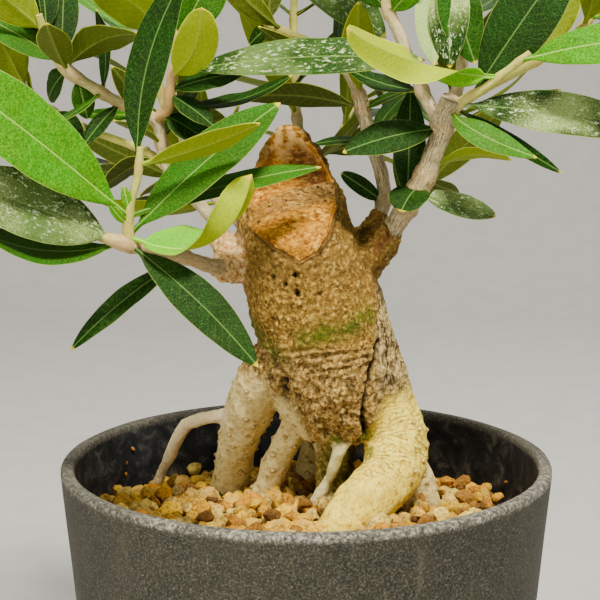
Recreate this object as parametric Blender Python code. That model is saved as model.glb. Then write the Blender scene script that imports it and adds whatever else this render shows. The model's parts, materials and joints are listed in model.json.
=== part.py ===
"""Lucca olive bonsai in its round rubber pot: pot, gravel bed, stump with roots, and leafy shoots.

Blender 4.5, metres, +Z up. The origin is the centre of the pot's flat base. +X is the right of the
photographed side and +Y points away from it. Sizes below are in millimetres and are scaled once,
when a mesh is made. Angles are in degrees.
"""
import math
import random
from collections import namedtuple

import bmesh
import bpy
from mathutils import Matrix, Vector, geometry, noise
from mathutils.bvhtree import BVHTree

MM = 0.001
GAP = 0.3

# Pot
POT_RADIUS = 75.0
POT_HEIGHT = 125.0
POT_TAPER = math.tan(math.radians(5.2))
POT_WALL = 4.0
POT_FLOOR = 5.0
POT_SIDES = 40
RIM_ROUND = 1.6
BASE_ROUND = 2.5
INSIDE_ROUND = 3.0
DRAIN_HOLES = 6
DRAIN_RADIUS = 4.5
DRAIN_RING = 40.0
DRAIN_SIDES = 10

# Gravel bed
SOIL_EDGE = 104.0
SOIL_MOUND = 3.5
SOIL_SLOPE = 0.05
GRAIN_STEP = 10.0
GRAIN_STRAY = 1.5
GRAIN_TOP = (0.8, 2.8)
GRAIN_HOLLOW = (-2.0, -0.8)
RIM_STRIP = 3.0
PEG_DEPTH = 10.0
PEG_OVERLAP = 4.0
MOUTH_DEPTH = 1.5
MOUTH_POINTS = 4
HOLE_MARGIN = 2.5

# A grain's top and two of the hollows round it: shares of a step across and of a row up, and heights
GRAIN_PATTERN = ((0, 0, GRAIN_TOP), (0.5, 1 / 3, GRAIN_HOLLOW), (0.5, -1 / 3, GRAIN_HOLLOW))

# Stump and roots
STACK_SIDES = 28
LIMB_SIDES = 14
BARK_VOXEL = 1.7
BARK_SMOOTHING = 0.6
BARK_ROUNDS = 3
BARK_FACES = 2050
BARK_RELIEF = 0.9
BARK_LUMP = 7.0
ROOTLET_SIDES = 6
FOOT_SIDES = 8

# Shoots and leaves
TWIG_SIDES = 6
TWIG_GUARD = 0.6
SOCKET_SIDES = 8
SOCKET_GAP = 0.4
LEAF_THICK = 1.1
LEAF_FOLD = 0.10
PETIOLE_PART = 0.08
PETIOLE_WIDTH = 1.5
LEAF_STATIONS = (0.0, PETIOLE_PART, 0.30, 0.56, 0.82)
TWISTED_STATIONS = (0.0, PETIOLE_PART, 0.20, 0.32, 0.44, 0.57, 0.70, 0.85)
TWISTED_FROM = 60
RULE_STATIONS = (0.0, 0.36, 0.74)
GUARD_THICK = 2.4
GUARD_STATIONS = (0.16, 0.34, 0.52, 0.70, 0.88, 1.0)
RULE_TRIES = 14
SEED = 7
SHARP_ANGLE = math.radians(35)

# Horizontal rings of the stump: centre x, y, z, then half width and half depth
STUMP_RINGS = (
    (11, 6, 130, 13, 11), (11, 6, 137, 19, 15), (9.5, 5, 148, 22, 17), (6.5, 4, 160, 21.5, 17),
    (3.5, 4, 170, 21, 17.5), (0.8, 4, 180, 20.5, 18), (-1.5, 4, 190, 19, 18),
    (-3.6, 5, 198, 17, 17), (-3.9, 6, 205, 15, 15.5), (-4.3, 7, 212, 12, 13),
    (-4.7, 8.5, 219, 8.8, 10), (-5.6, 10.5, 225.5, 4.3, 5),
)

# Limbs that melt into the stump: points of x, y, z and radius
LIMBS = {
    "right_root": ((19, 6, 152, 10.2), (24, 4, 139, 10), (27.2, 2, 130, 9.8), (26, -4, 121, 9.4),
                   (17.8, -9, 114, 8), (9, -13, 105, 6.8), (7, -14, 101, 6)),
    "front_left_root": ((0, 3, 147, 8), (-2.2, 5, 138, 5), (-5, 9, 130, 3.9), (-9.3, 13, 120, 4.2),
                        (-12.3, 16.6, 111, 4.4), (-14, 18.6, 105, 4.4), (-14.8, 18.8, 101, 4.2)),
    "left_root": ((-6, 6, 158, 8), (-12.5, 7, 150, 8), (-16.8, 12, 140, 7.8), (-20.8, 18, 129, 6.7),
                  (-23.2, 24.5, 118, 6.1), (-25.2, 30.5, 106, 5.9), (-26, 31.5, 101, 5.8)),
    "under_root": ((10, 14, 135, 8), (9, 12, 127, 6.6), (9, 9, 117, 5.8), (7, 6, 106, 4.8),
                   (7, 5, 101, 4.4)),
    "right_back_root": ((25, 8, 139, 8), (29.5, 9, 131, 5.8), (33, 12, 121, 4.9), (38, 15, 107, 5),
                        (40, 16, 101, 4.6)),
    "right_low_root": ((26, 6, 127, 7), (29, 7, 118, 5.2), (30, 4, 106, 4.4), (30, 3, 101, 4.2)),
    "back_root": ((8, 16, 152, 10), (6, 26, 137, 7.5), (4, 37, 119, 5.8), (2, 44, 106, 5.2),
                  (2, 45, 101, 5)),
    "back_right_root": ((20, 16, 148, 8), (26, 26, 131, 5.6), (31, 35, 113, 4.8), (33, 38, 106, 4.5),
                        (34, 39, 101, 4.3)),
    "left_collar": ((-11, 2, 183, 10), (-18, 1, 185, 6.5), (-23, -2, 184.5, 4.9)),
    "left_back_collar": ((-14, 4, 187, 7), (-22, 5.5, 189, 4.4), (-25, 6, 190, 4)),
    "right_collar": ((10, 5, 182, 11), (18, 4.5, 186, 6.8), (22.7, 3.1, 191.5, 5.2)),
    "right_back_collar": ((12, 10, 186, 8), (18, 13, 191, 5), (21, 14, 194, 4.2)),
    "back_left_collar": ((-8, 12, 182, 9), (-13, 19, 187, 5), (-15, 22, 189, 4)),
    "back_middle_collar": ((-3, 14, 194, 8), (-1, 21, 199, 4.8), (0, 24, 201, 4)),
    "back_right_collar": ((10, 14, 176, 9), (16, 20, 180, 5.2), (18, 22, 182, 4.2)),
}

# Roots that go into the gravel: the limb's name and the radius of its plain foot
ROOT_FEET = {
    "right_root": 5.6, "front_left_root": 3.9, "left_root": 5.6, "under_root": 4.0,
    "right_back_root": 4.2, "right_low_root": 3.8, "back_root": 4.6, "back_right_root": 4.0,
}

# Thin roots with free runs, ending in the gravel
ROOTLETS = (
    ((-20, 13, 137, 3.2), (-27, 17, 134, 2.6), (-34, 20, 132, 2.3), (-39, 24, 129, 2.3),
     (-43, 29, 122, 2.1), (-47, 34, 112, 2.0), (-50, 37, 104, 1.9), (-52, 39, 97, 1.8)),
    ((12, -3, 134, 2.2), (10, -4, 128, 2.0), (7, 0, 118, 1.9), (2, 4, 107, 1.8), (1, 5, 98, 1.7)),
)

# Side view of the sawn top, y and z: the saw took everything in front of this line
SAW_LINE = (
    (18, 232), (12.5, 225), (7, 213), (2, 206.5), (-3, 204), (-6, 200), (-11, 192.5),
    (-13.6, 187), (-17.5, 180), (-30, 172),
)

SAW_REACH = 45.0
SAW_TOP = 260.0

Leaf = namedtuple("Leaf", "twig at heading rise length width roll bend side twist round_ span cup")


def leaf(twig, at, heading, rise, length, width, roll=0, bend=0.05, side=0.0, twist=0, round_=0.8,
         span=(0.0, 1.0), cup=LEAF_FOLD):
    """One leaf on twig number `twig`, at a place counted along the twig's points.

    It twists between the two shares of its length in `span`, and its sides rise by `cup` of its half width.
    """
    return Leaf(twig, at, heading, rise, length, width, roll, bend, side, twist, round_, span, cup)


# A rule places pairs of leaves along a twig: twig, first place, last place, pairs, leaf length
Rule = namedtuple("Rule", "twig first last pairs length")

SHOOTS = {
    "left_front_shoot": {
        "twigs": (
            ((-21, -1.5, 184, 3.0), (-28, -10, 186, 2.3), (-35, -20, 190, 1.9), (-42, -30, 193, 1.8),
             (-49, -38, 196, 2.0), (-57, -42, 199, 1.3)),
            ((-49, -38, 196, 1.6), (-49, -39, 202, 1.3), (-48, -40, 208, 1.1), (-46, -41, 215, 1.1),
             (-45, -42, 223, 0.9)),
        ),
        "leaves": (
            leaf(1, 1.3, -148, 38, 74, 21.5, -73, 0.03, round_=0.9),
            leaf(0, 4.4, -151, 23, 51, 18, -73, 0.04),
            leaf(0, 4.2, -147, 10, 44, 12.5, -35, -0.13),
            leaf(0, 2.0, -163, -37, 42, 9, -31),
            leaf(0, 4.0, -16, -41, 49, 13, 40, 0.07),
            leaf(1, 0.35, 8, 26.5, 38, 14.4, 25, -0.19, 0.25, -144, 0.42, (0.29, 1.21), 0.81),
            leaf(1, 0.4, 14, 40, 56, 15.5, 48),
            leaf(1, 3.4, -5, 19, 35, 10, -40, -0.03),
            leaf(1, 1.3, 24, 11.5, 59, 9, 33, 0.04),
            leaf(1, 3.4, 7, 75, 53, 13, 53, -0.03, -0.12),
            leaf(1, 0.9, -139, 47, 9, 3, -140),
            leaf(1, 1.5, -114, 69, 8, 3, -150),
        ),
        "rules": (),
    },
    "left_back_shoot": {
        "twigs": (
            ((-24, 6, 190, 2.4), (-28, 8, 197, 2.0), (-35, 9, 205, 1.9), (-42, 9, 213, 1.8),
             (-44, 9, 221, 1.8), (-46, 8, 228, 1.8), (-56, 6, 233, 1.7), (-64, 4, 238, 1.6),
             (-71, 2, 243, 1.7), (-76, 0, 251, 1.2), (-78, -3, 259, 1.0)),
            ((-42, 9, 213, 1.5), (-48, 14, 217, 1.3), (-55, 18, 220, 1.2), (-64, 20, 223, 1.1),
             (-73, 22, 227, 1.1), (-80, 22, 231, 1.1), (-88, 20, 238, 0.9)),
            ((-46, 8, 228, 1.6), (-42, 6, 231, 1.5), (-41, 4, 235, 1.4), (-40, 3, 241, 1.3),
             (-39, 2, 246, 1.2), (-38, 3, 262, 1.1), (-36, 6, 280, 1.0), (-34, 8, 296, 0.8)),
        ),
        "leaves": (
            leaf(1, 0.9, -155, -30, 20, 11, 44),
            leaf(0, 2.6, -148, -19, 14, 9, 32),
            leaf(0, 9.4, -150, 37, 26, 13, 58),
            leaf(0, 8.1, -30, 19, 29, 15, -24, 0.13),
            leaf(0, 8.2, 179, 30, 30, 12, -48),
            leaf(0, 9.3, 149, 55, 30, 12, -86),
            leaf(0, 9.1, 106, 63, 28, 9, -4),
            leaf(0, 8.3, 91, 65, 28, 9.5, 5),
            leaf(2, 4.35, -155, 36, 35, 18, 46),
            leaf(1, 4.8, -45, -37, 18, 10, 60),
            leaf(0, 7.6, 27, -77, 13, 7, 100),
            leaf(0, 6.0, -137, -42, 18, 6, -28),
            leaf(0, 8.0, 127, -36, 15, 10, -86),
            leaf(1, 5.8, -126, 57, 29, 14, 60),
            leaf(1, 5.6, 159, 63, 16, 5, 54),
            leaf(2, 3.0, -57, 47, 27, 12.5, -35, -0.05, -0.10, round_=0.5),
            leaf(2, 4.3, 8, 62, 29, 15, 93),
            leaf(2, 2.3, -4, 13, 23, 11, 39),
            leaf(2, 1.4, 10, 13, 39, 10, 18, -0.10),
            leaf(2, 2.1, -20, -33, 17, 9, 29),
            leaf(2, 0.9, 27, -13, 22, 9, -47),
            leaf(2, 0.6, -10, -31, 18, 11, 36),
            leaf(2, 3.2, -8, 3, 75, 13.5, 53, 0.06),
        ),
        "rules": (Rule(2, 5.0, 7.0, 4, 34), Rule(0, 4.0, 8.0, 4, 30)),
    },
    "right_front_shoot": {
        "twigs": (
            ((22.5, 3.3, 191.5, 3.6), (26, 1, 196, 3.3), (29, -1, 201, 3.2), (32, -3, 206, 3.1),
             (35, -4, 212, 3.0), (37, -5, 218, 3.0), (39, -6, 224, 3.0), (40, -6, 229, 3.4),
             (42, -9, 235, 2.9)),
            ((39, -6, 228, 2.2), (36, -4, 233, 2.0), (34, -3, 237, 1.9), (30, -1, 246, 1.8),
             (27, 0, 254, 1.8), (23, 2, 263, 1.6), (20, 4, 280, 1.2), (18, 6, 296, 0.9)),
            ((40, -6, 229, 1.8), (45, -9, 234, 1.5), (51, -12, 238, 1.3), (56, -14, 242, 1.2),
             (63, -18, 248, 1.0)),
            ((40, -5, 230, 1.7), (52, 2, 237, 1.5), (64, 6, 243, 1.4), (75, 7, 249, 1.3),
             (83, 8, 256, 1.3), (88, 9, 265, 1.1), (92, 10, 279, 0.8)),
            ((41, -5, 229, 2.2), (44, -1, 236, 1.9), (46, 1, 245, 1.8), (45, 0, 258, 1.7),
             (43, -4, 273, 1.6), (41, -3, 288, 1.2), (38, 0, 304, 0.9)),
        ),
        "leaves": (
            leaf(2, 2.8, -156.5, 15.6, 50, 11.5, -95, -0.10, -0.06, -150, 0.45, (0.06, 0.53), 0.69),
            leaf(4, 4.6, -121, -75, 39, 10, 162, 0.05, -0.08),
            leaf(4, 4.15, -100, -73, 33, 13, 20),
            leaf(4, 4.3, -49, -74, 34, 13, 35, 0.05, 0.06),
            leaf(2, 1.5, -7, 56, 50, 18.5, 79),
            leaf(3, 2.4, -14, 71, 32, 14, -90),
            leaf(2, 3.6, -18, 8, 49, 13, 62, 0.08),
            leaf(2, 0.8, -12, -7, 56, 14.5, 55),
            leaf(2, 0.4, -37, -23, 31, 9.5, 32, 0.10, 0.16),
            leaf(3, 0.3, 26, -28, 44, 6, 62, 0.0),
            leaf(0, 4.15, 6, 8, 26, 8, -32, 0.16),
            leaf(0, 6.4, -158, -11, 32, 11.5, -47, 0.07),
            leaf(0, 3.4, -115, -22, 15, 12, -10, 0.10, round_=0.5),
            leaf(0, 3.3, -21, -16, 25, 9, 39, -0.02, round_=0.65),
            leaf(0, 3.9, 41, -19, 16, 5, -43, -0.03),
            leaf(0, 2.3, 83, 68, 37, 10, 7),
            leaf(1, 2.0, 153, 14, 25, 8, -31, -0.06),
            leaf(1, 4.7, -174, 43, 18, 8, -93),
            leaf(1, 4.6, -46, 41, 17, 8, 129),
            leaf(3, 4.2, -11, 15, 23, 11, 55),
            leaf(3, 4.0, -16, -20, 22, 11, 50),
        ),
        "rules": (Rule(1, 5.0, 7.0, 4, 32), Rule(3, 4.0, 6.0, 4, 30), Rule(4, 4.6, 6.0, 4, 34)),
    },
    "right_back_shoot": {
        "twigs": (
            ((20, 13.5, 193, 2.8), (23, 15, 199, 2.4), (24, 16, 205, 2.2), (23, 17, 212, 2.2),
             (20, 19, 221, 2.2), (18, 20, 229, 2.2), (16, 21, 236, 2.0), (13, 22, 242, 1.9),
             (9, 24, 247, 1.7), (-1, 28, 252, 1.4), (-12, 33, 257, 1.3), (-14, 36, 267, 1.1),
             (-16, 38, 284, 1.0), (-16, 40, 300, 0.8)),
        ),
        "leaves": (
            leaf(0, 5.2, -34, 21, 16, 7, 33),
            leaf(0, 5.3, 175, 4, 40, 10, 50, 0.09),
            leaf(0, 4.0, 171, -5, 19, 5, -27),
            leaf(0, 1.6, -157, 33, 17, 5.5, -89, round_=0.55),
            leaf(0, 10.0, -71, 80, 18, 8, -31),
            leaf(0, 10.3, 171, 39, 17, 8, -82),
            leaf(0, 9.9, 153, -38, 10, 6, -71),
            leaf(0, 12.35, -24, -40, 58, 17, 62, 0.04),
        ),
        "rules": (Rule(0, 11.0, 13.0, 4, 34), Rule(0, 4.0, 9.6, 4, 32)),
    },
    "back_left_shoot": {
        "twigs": (
            ((-14, 20.5, 188, 2.4), (-20, 30, 193, 2.1), (-30, 41, 202, 1.9), (-40, 50, 214, 1.7),
             (-47, 57, 230, 1.5), (-52, 62, 250, 1.2), (-54, 65, 272, 0.8)),
            ((-30, 41, 202, 1.5), (-37, 52, 203, 1.3), (-46, 64, 207, 1.1), (-55, 72, 215, 0.8)),
        ),
        "leaves": (),
        "rules": (Rule(0, 1.8, 6.0, 8, 42), Rule(1, 0.8, 3.0, 4, 38)),
    },
    "back_middle_shoot": {
        "twigs": (
            ((-0.5, 22.5, 200, 2.5), (1, 34, 206, 2.1), (0, 48, 213, 1.9), (-3, 60, 226, 1.7),
             (-4, 68, 244, 1.4), (-4, 72, 264, 1.2), (-2, 74, 288, 0.8)),
            ((0, 48, 213, 1.5), (6, 62, 214, 1.3), (12, 74, 220, 1.1), (17, 82, 230, 0.8)),
        ),
        "leaves": (),
        "rules": (Rule(0, 1.8, 6.0, 8, 42), Rule(1, 0.8, 3.0, 4, 38)),
    },
    "back_right_shoot": {
        "twigs": (
            ((17, 21, 181, 2.5), (26, 30, 187, 2.1), (34, 40, 198, 1.9), (43, 49, 211, 1.7),
             (48, 56, 229, 1.5), (51, 61, 250, 1.2), (52, 64, 274, 0.8)),
            ((34, 40, 198, 1.5), (42, 52, 203, 1.3), (47, 64, 212, 1.1), (50, 74, 226, 0.8)),
        ),
        "leaves": (),
        "rules": (Rule(0, 1.8, 6.0, 8, 42), Rule(1, 0.8, 3.0, 4, 38)),
    },
}

# Open air that the rules leave free, so the shoots show the same gaps: low and high x, then z
OPEN_AIR = ((28, 140, 100, 202), (44, 140, 100, 213), (-140, -26, 100, 196), (-1, 14, 220, 240))

COLOURS = {
    "pot": ((0.035, 0.035, 0.037), 0.62),
    "soil": ((0.47, 0.28, 0.13), 0.95),
    "stump_with_roots": ((0.34, 0.22, 0.11), 0.88),
    "shoot": ((0.07, 0.16, 0.03), 0.45),
}


def clear_scene():
    """Take away whatever the file opened with."""
    for thing in list(bpy.data.objects):
        bpy.data.objects.remove(thing, do_unlink=True)


def material(name, colour, roughness):
    """A plain Principled material."""
    made = bpy.data.materials.new(name)
    made.use_nodes = True
    shader = made.node_tree.nodes["Principled BSDF"]
    shader.inputs["Base Color"].default_value = (*colour, 1.0)
    shader.inputs["Roughness"].default_value = roughness
    made.diffuse_color = (*colour, 1.0)
    return made


def add_object(name, points, faces, collection=None):
    """An object from points in millimetres, with its faces turned outwards."""
    mesh = bpy.data.meshes.new(name)
    mesh.from_pydata([Vector(p) * MM for p in points], [], faces)
    made = bpy.data.objects.new(name, mesh)
    (collection or bpy.context.scene.collection).objects.link(made)
    form = bmesh.new()
    form.from_mesh(mesh)
    bmesh.ops.recalc_face_normals(form, faces=form.faces)
    bmesh.ops.triangulate(form, faces=form.faces)
    form.to_mesh(mesh)
    form.free()
    return made


def settle(thing):
    """Apply an object's modifiers."""
    graph = bpy.context.evaluated_depsgraph_get()
    mesh = bpy.data.meshes.new_from_object(thing.evaluated_get(graph))
    thing.modifiers.clear()
    thing.data = mesh


def combine(thing, collection, operation):
    """One exact Boolean of an object with a collection, applied, then the collection is removed."""
    modifier = thing.modifiers.new(operation.lower(), "BOOLEAN")
    modifier.operation = operation
    modifier.operand_type = "COLLECTION"
    modifier.collection = collection
    modifier.solver = "EXACT"
    settle(thing)
    for part in list(collection.objects):
        bpy.data.objects.remove(part, do_unlink=True)
    bpy.data.collections.remove(collection)


def new_collection(name):
    """A collection in the scene, for the members of one Boolean."""
    made = bpy.data.collections.new(name)
    bpy.context.scene.collection.children.link(made)
    return made


def keep_largest_body(thing):
    """Drop loose scraps and fill sealed pockets: only the largest surface stays."""
    form = bmesh.new()
    form.from_mesh(thing.data)
    bmesh.ops.dissolve_degenerate(form, dist=1e-7, edges=form.edges)
    waiting = set(form.faces)
    bodies = []
    while waiting:
        body = []
        front = [waiting.pop()]
        while front:
            face = front.pop()
            body.append(face)
            for edge in face.edges:
                for other in edge.link_faces:
                    if other in waiting:
                        waiting.remove(other)
                        front.append(other)
        bodies.append(body)
    bodies.sort(key=len)
    for body in bodies[:-1]:
        bmesh.ops.delete(form, geom=body, context="FACES")
    loose = [point for point in form.verts if not point.link_faces]
    bmesh.ops.delete(form, geom=loose, context="VERTS")
    bmesh.ops.triangulate(form, faces=form.faces)
    form.to_mesh(thing.data)
    form.free()


def turned(profile, sides):
    """A closed body turned round Z from a profile of (radius, z). Both its ends lie on the axis."""
    points = [(0.0, 0.0, profile[0][1])]
    for radius, z in profile[1:-1]:
        for step in range(sides):
            turn = math.tau * step / sides
            points.append((radius * math.cos(turn), radius * math.sin(turn), z))
    points.append((0.0, 0.0, profile[-1][1]))
    faces = []
    last_ring = len(profile) - 3
    for step in range(sides):
        following = (step + 1) % sides
        faces.append((0, 1 + step, 1 + following))
        for ring in range(last_ring):
            low = 1 + ring * sides
            high = low + sides
            faces.append((low + step, high + step, high + following, low + following))
        top = 1 + last_ring * sides
        faces.append((top + step, len(points) - 1, top + following))
    return points, faces


def frames_along(points):
    """For each point of a path, its direction and two directions across it, carried without twist."""
    count = len(points)
    ways = []
    for k in range(count):
        ways.append((points[min(k + 1, count - 1)] - points[max(k - 1, 0)]).normalized())
    across = ways[0].orthogonal().normalized()
    frames = []
    for way in ways:
        across = (across - way * across.dot(way)).normalized()
        frames.append((way, across, way.cross(across)))
    return frames


def tube(path, sides, grow=0.0):
    """A closed tube along points of (x, y, z, radius), its corners on the radius plus `grow`."""
    centres = [Vector(p[:3]) for p in path]
    points = []
    for centre, (_, one, two), station in zip(centres, frames_along(centres), path):
        radius = station[3] + grow
        for step in range(sides):
            turn = math.tau * step / sides
            points.append(centre + one * (radius * math.cos(turn)) + two * (radius * math.sin(turn)))
    faces = []
    for ring in range(len(path) - 1):
        low = ring * sides
        for step in range(sides):
            following = (step + 1) % sides
            faces.append((low + step, low + following, low + sides + following, low + sides + step))
    faces.append(tuple(range(sides)))
    faces.append(tuple(range(len(points) - sides, len(points))))
    return points, faces


def place_on(path, at):
    """The point and direction at a place counted along a twig's points."""
    first = min(int(at), len(path) - 2)
    start = Vector(path[first][:3])
    end = Vector(path[first + 1][:3])
    return start.lerp(end, at - first), (end - start).normalized()


def leaf_curve(blade, base, share):
    """Centre, direction, face and sideways vector of a leaf at a share of its length."""
    heading = math.radians(blade.heading)
    rise = math.radians(blade.rise)
    axis = Vector((math.cos(rise) * math.cos(heading), math.cos(rise) * math.sin(heading),
                   math.sin(rise)))
    up = Vector((-math.sin(rise) * math.cos(heading), -math.sin(rise) * math.sin(heading),
                 math.cos(rise)))
    face = Matrix.Rotation(math.radians(blade.roll), 3, axis) @ up
    sideways = axis.cross(face)
    arch = 4 * share * (1 - share)
    slope = 4 * (1 - 2 * share)
    shift = face * blade.bend + sideways * blade.side
    centre = base + (axis * share + shift * arch) * blade.length
    way = (axis + shift * slope).normalized()
    face = (face - way * face.dot(way)).normalized()
    first, last = blade.span
    turned_part = min(1.0, max(0.0, (share - first) / (last - first)))
    face = Matrix.Rotation(math.radians(blade.twist * turned_part), 3, way) @ face
    return centre, way, face, way.cross(face)


def leaf_half_width(blade, share):
    """Half the blade's width: a thin stalk, then a lance shape."""
    if share <= PETIOLE_PART:
        return PETIOLE_WIDTH / 2
    part = (share - PETIOLE_PART) / (1 - PETIOLE_PART)
    return max(PETIOLE_WIDTH / 2, blade.width / 2 * (4 * part * (1 - part)) ** blade.round_)


def leaf_stations(blade, set_by_hand):
    """Shares of a leaf's length at which its section is made: more of them where it twists."""
    if not set_by_hand:
        return RULE_STATIONS
    return TWISTED_STATIONS if abs(blade.twist) > TWISTED_FROM else LEAF_STATIONS


def leaf_solid(blade, base, stations):
    """A leaf as a closed body: two edges, a ridge above and a keel below, and a pointed tip."""
    points = []
    for share in stations:
        centre, _, face, sideways = leaf_curve(blade, base, share)
        half = leaf_half_width(blade, share)
        raised = centre + face * (half * blade.cup)
        points += [raised + sideways * half, centre + face * (LEAF_THICK / 2),
                   raised - sideways * half, centre - face * (LEAF_THICK / 2)]
    points.append(leaf_curve(blade, base, 1.0)[0])
    tip = len(points) - 1
    faces = [(0, 1, 2, 3)]
    for ring in range(len(stations) - 1):
        low = ring * 4
        for edge, middle in ((0, 1), (2, 1), (0, 3), (2, 3)):
            faces.append((low + edge, low + middle, low + 4 + middle))
            faces.append((low + edge, low + 4 + middle, low + 4 + edge))
    low = tip - 4
    faces += [(low + edge, low + middle, tip) for edge, middle in ((0, 1), (2, 1), (0, 3), (2, 3))]
    return points, faces


def leaf_guard(blade, base):
    """A thicker box-like leaf without its stalk, which keeps other leaves away."""
    points = []
    for share in GUARD_STATIONS:
        centre, _, face, sideways = leaf_curve(blade, base, share)
        half = leaf_half_width(blade, share)
        middle = centre + face * (half * blade.cup / 2)
        for across, above in ((1, 1), (-1, 1), (-1, -1), (1, -1)):
            points.append(middle + sideways * (half * across) + face * (GUARD_THICK / 2 * above))
    faces = [(0, 1, 2, 3), tuple(range(len(points) - 4, len(points)))]
    for ring in range(len(GUARD_STATIONS) - 1):
        low = ring * 4
        for step in range(4):
            following = (step + 1) % 4
            faces.append((low + step, low + following, low + 4 + following, low + 4 + step))
    return points, faces


def bounds_of(points):
    """Lowest and highest corner of some points."""
    low = [min(p[axis] for p in points) for axis in range(3)]
    high = [max(p[axis] for p in points) for axis in range(3)]
    return low, high


class Crowd:
    """What is already placed, so that a new leaf can be kept clear of it."""

    def __init__(self):
        self.members = []

    def add(self, points, faces, owner=None):
        self.members.append((bounds_of(points), BVHTree.FromPolygons(points, faces), owner))

    def touches(self, points, faces, owner=None):
        low, high = bounds_of(points)
        tree = BVHTree.FromPolygons(points, faces)
        for (other_low, other_high), other, other_owner in self.members:
            if owner is not None and other_owner == owner:
                continue
            apart = any(low[k] > other_high[k] or high[k] < other_low[k] for k in range(3))
            if not apart and tree.overlap(other):
                return True
        return False


def in_open_air(blade, base):
    """True where a leaf would fill a gap that the photographed side shows."""
    for share in (0.35, 0.7, 1.0):
        centre = leaf_curve(blade, base, share)[0]
        for low_x, high_x, low_z, high_z in OPEN_AIR:
            if low_x < centre.x < high_x and low_z < centre.z < high_z:
                return True
    return False


def rule_leaf(rule, at, way, turn, draw):
    """One leaf of a pair: it leaves the twig at a turn round it and faces the twig's tip."""
    outward = Matrix.Rotation(turn, 3, way) @ way.orthogonal().normalized()
    spread = math.radians(draw.uniform(38, 66))
    axis = (way * math.cos(spread) + outward * math.sin(spread)).normalized()
    heading = math.atan2(axis.y, axis.x)
    rise = math.asin(max(-1.0, min(1.0, axis.z)))
    up = Vector((-math.sin(rise) * math.cos(heading), -math.sin(rise) * math.sin(heading),
                 math.cos(rise)))
    wanted = way * math.sin(spread) - outward * math.cos(spread) + Vector((0, 0, 0.5))
    wanted = (wanted - axis * wanted.dot(axis)).normalized()
    roll = math.degrees(math.atan2(wanted.dot(axis.cross(up)), wanted.dot(up)))
    length = rule.length * draw.uniform(0.72, 1.15)
    return leaf(rule.twig, at, math.degrees(heading), math.degrees(rise), length,
                length * draw.uniform(0.24, 0.31), roll + draw.uniform(-18, 18),
                draw.uniform(-0.10, 0.06), draw.uniform(-0.04, 0.04), draw.uniform(-15, 15))


def rule_leaves(shoot_name, shoot, crowd, draw):
    """Pairs of leaves along the twigs, each pair a quarter turn on from the last."""
    made = []
    for rule in shoot["rules"]:
        path = shoot["twigs"][rule.twig]
        for pair in range(rule.pairs):
            at = rule.first + (rule.last - rule.first) * pair / max(1, rule.pairs - 1)
            base, way = place_on(path, at)
            for half in range(2):
                for _ in range(RULE_TRIES):
                    turn = math.pi * half + math.pi / 2 * pair + draw.uniform(-0.5, 0.5)
                    blade = rule_leaf(rule, at, way, turn, draw)
                    guard = leaf_guard(blade, base)
                    if not in_open_air(blade, base) and not crowd.touches(*guard):
                        crowd.add(*guard, shoot_name)
                        made.append(blade)
                        break
    return made


def plant_layout():
    """All leaves of every shoot: the ones set by hand first, then the ones that rules place."""
    crowd = Crowd()
    crowd.add(*stump_stack())
    for path in LIMBS.values():
        crowd.add(*tube(path, LIMB_SIDES))
    for name, shoot in SHOOTS.items():
        for path in shoot["twigs"]:
            crowd.add(*tube(path, TWIG_SIDES, TWIG_GUARD), name)
        for blade in shoot["leaves"]:
            base, _ = place_on(shoot["twigs"][blade.twig], blade.at)
            crowd.add(*leaf_guard(blade, base), name)
    draw = random.Random(SEED)
    layout = {}
    for name, shoot in SHOOTS.items():
        layout[name] = list(shoot["leaves"]) + rule_leaves(name, shoot, crowd, draw)
    return layout


def pot_radius(z):
    """Outer radius of the pot's wall at a height."""
    return POT_RADIUS - (POT_HEIGHT - z) * POT_TAPER


def pot_inside(z):
    """Inner radius of the pot's wall at a height."""
    return pot_radius(z) - POT_WALL


def make_pot():
    """A thick tapered pot with a soft rim, a flat base and a ring of drain holes."""
    top = POT_HEIGHT
    edge = top - RIM_ROUND
    bend = POT_FLOOR + INSIDE_ROUND
    profile = [
        (0, 0), (pot_radius(0) - BASE_ROUND, 0), (pot_radius(BASE_ROUND), BASE_ROUND),
        (pot_radius(edge), edge), (POT_RADIUS - RIM_ROUND, top),
        (POT_RADIUS - POT_WALL, top - RIM_ROUND / 4),
        (pot_inside(edge), edge), (pot_inside(bend), bend),
        (pot_inside(POT_FLOOR) - INSIDE_ROUND, POT_FLOOR), (0, POT_FLOOR),
    ]
    pot = add_object("pot", *turned(profile, POT_SIDES))
    cutters = new_collection("drain_cutters")
    for hole in range(DRAIN_HOLES):
        turn = math.tau * (hole + 0.5) / DRAIN_HOLES
        x = DRAIN_RING * math.cos(turn)
        y = DRAIN_RING * math.sin(turn)
        path = ((x, y, -POT_FLOOR, DRAIN_RADIUS), (x, y, 2 * POT_FLOOR, DRAIN_RADIUS))
        add_object("drain_cutter", *tube(path, DRAIN_SIDES), cutters)
    combine(pot, cutters, "DIFFERENCE")
    return pot


def soil_height(x, y):
    """Height of the gravel, a low mound round the roots that falls away behind them."""
    share = min(1.0, math.hypot(x, y) / POT_RADIUS)
    return SOIL_EDGE + SOIL_MOUND * (1 - share * share) - SOIL_SLOPE * max(0.0, y)


def foot_path(name):
    """Top and bottom of a root's plain foot, from the limb's end straight on into the gravel."""
    above = Vector(LIMBS[name][-2][:3])
    end = Vector(LIMBS[name][-1][:3])
    way = (end - above).normalized()
    bottom = end + way * PEG_DEPTH
    radius = ROOT_FEET[name]
    return (*(end - way * PEG_OVERLAP), radius), (*bottom, radius)


def longer(path, extra):
    """A path whose last point lies `extra` further on."""
    before = Vector(path[-2][:3])
    last = Vector(path[-1][:3])
    further = last + (last - before).normalized() * extra
    return (*path[:-1], (*further, path[-1][3]))


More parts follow.
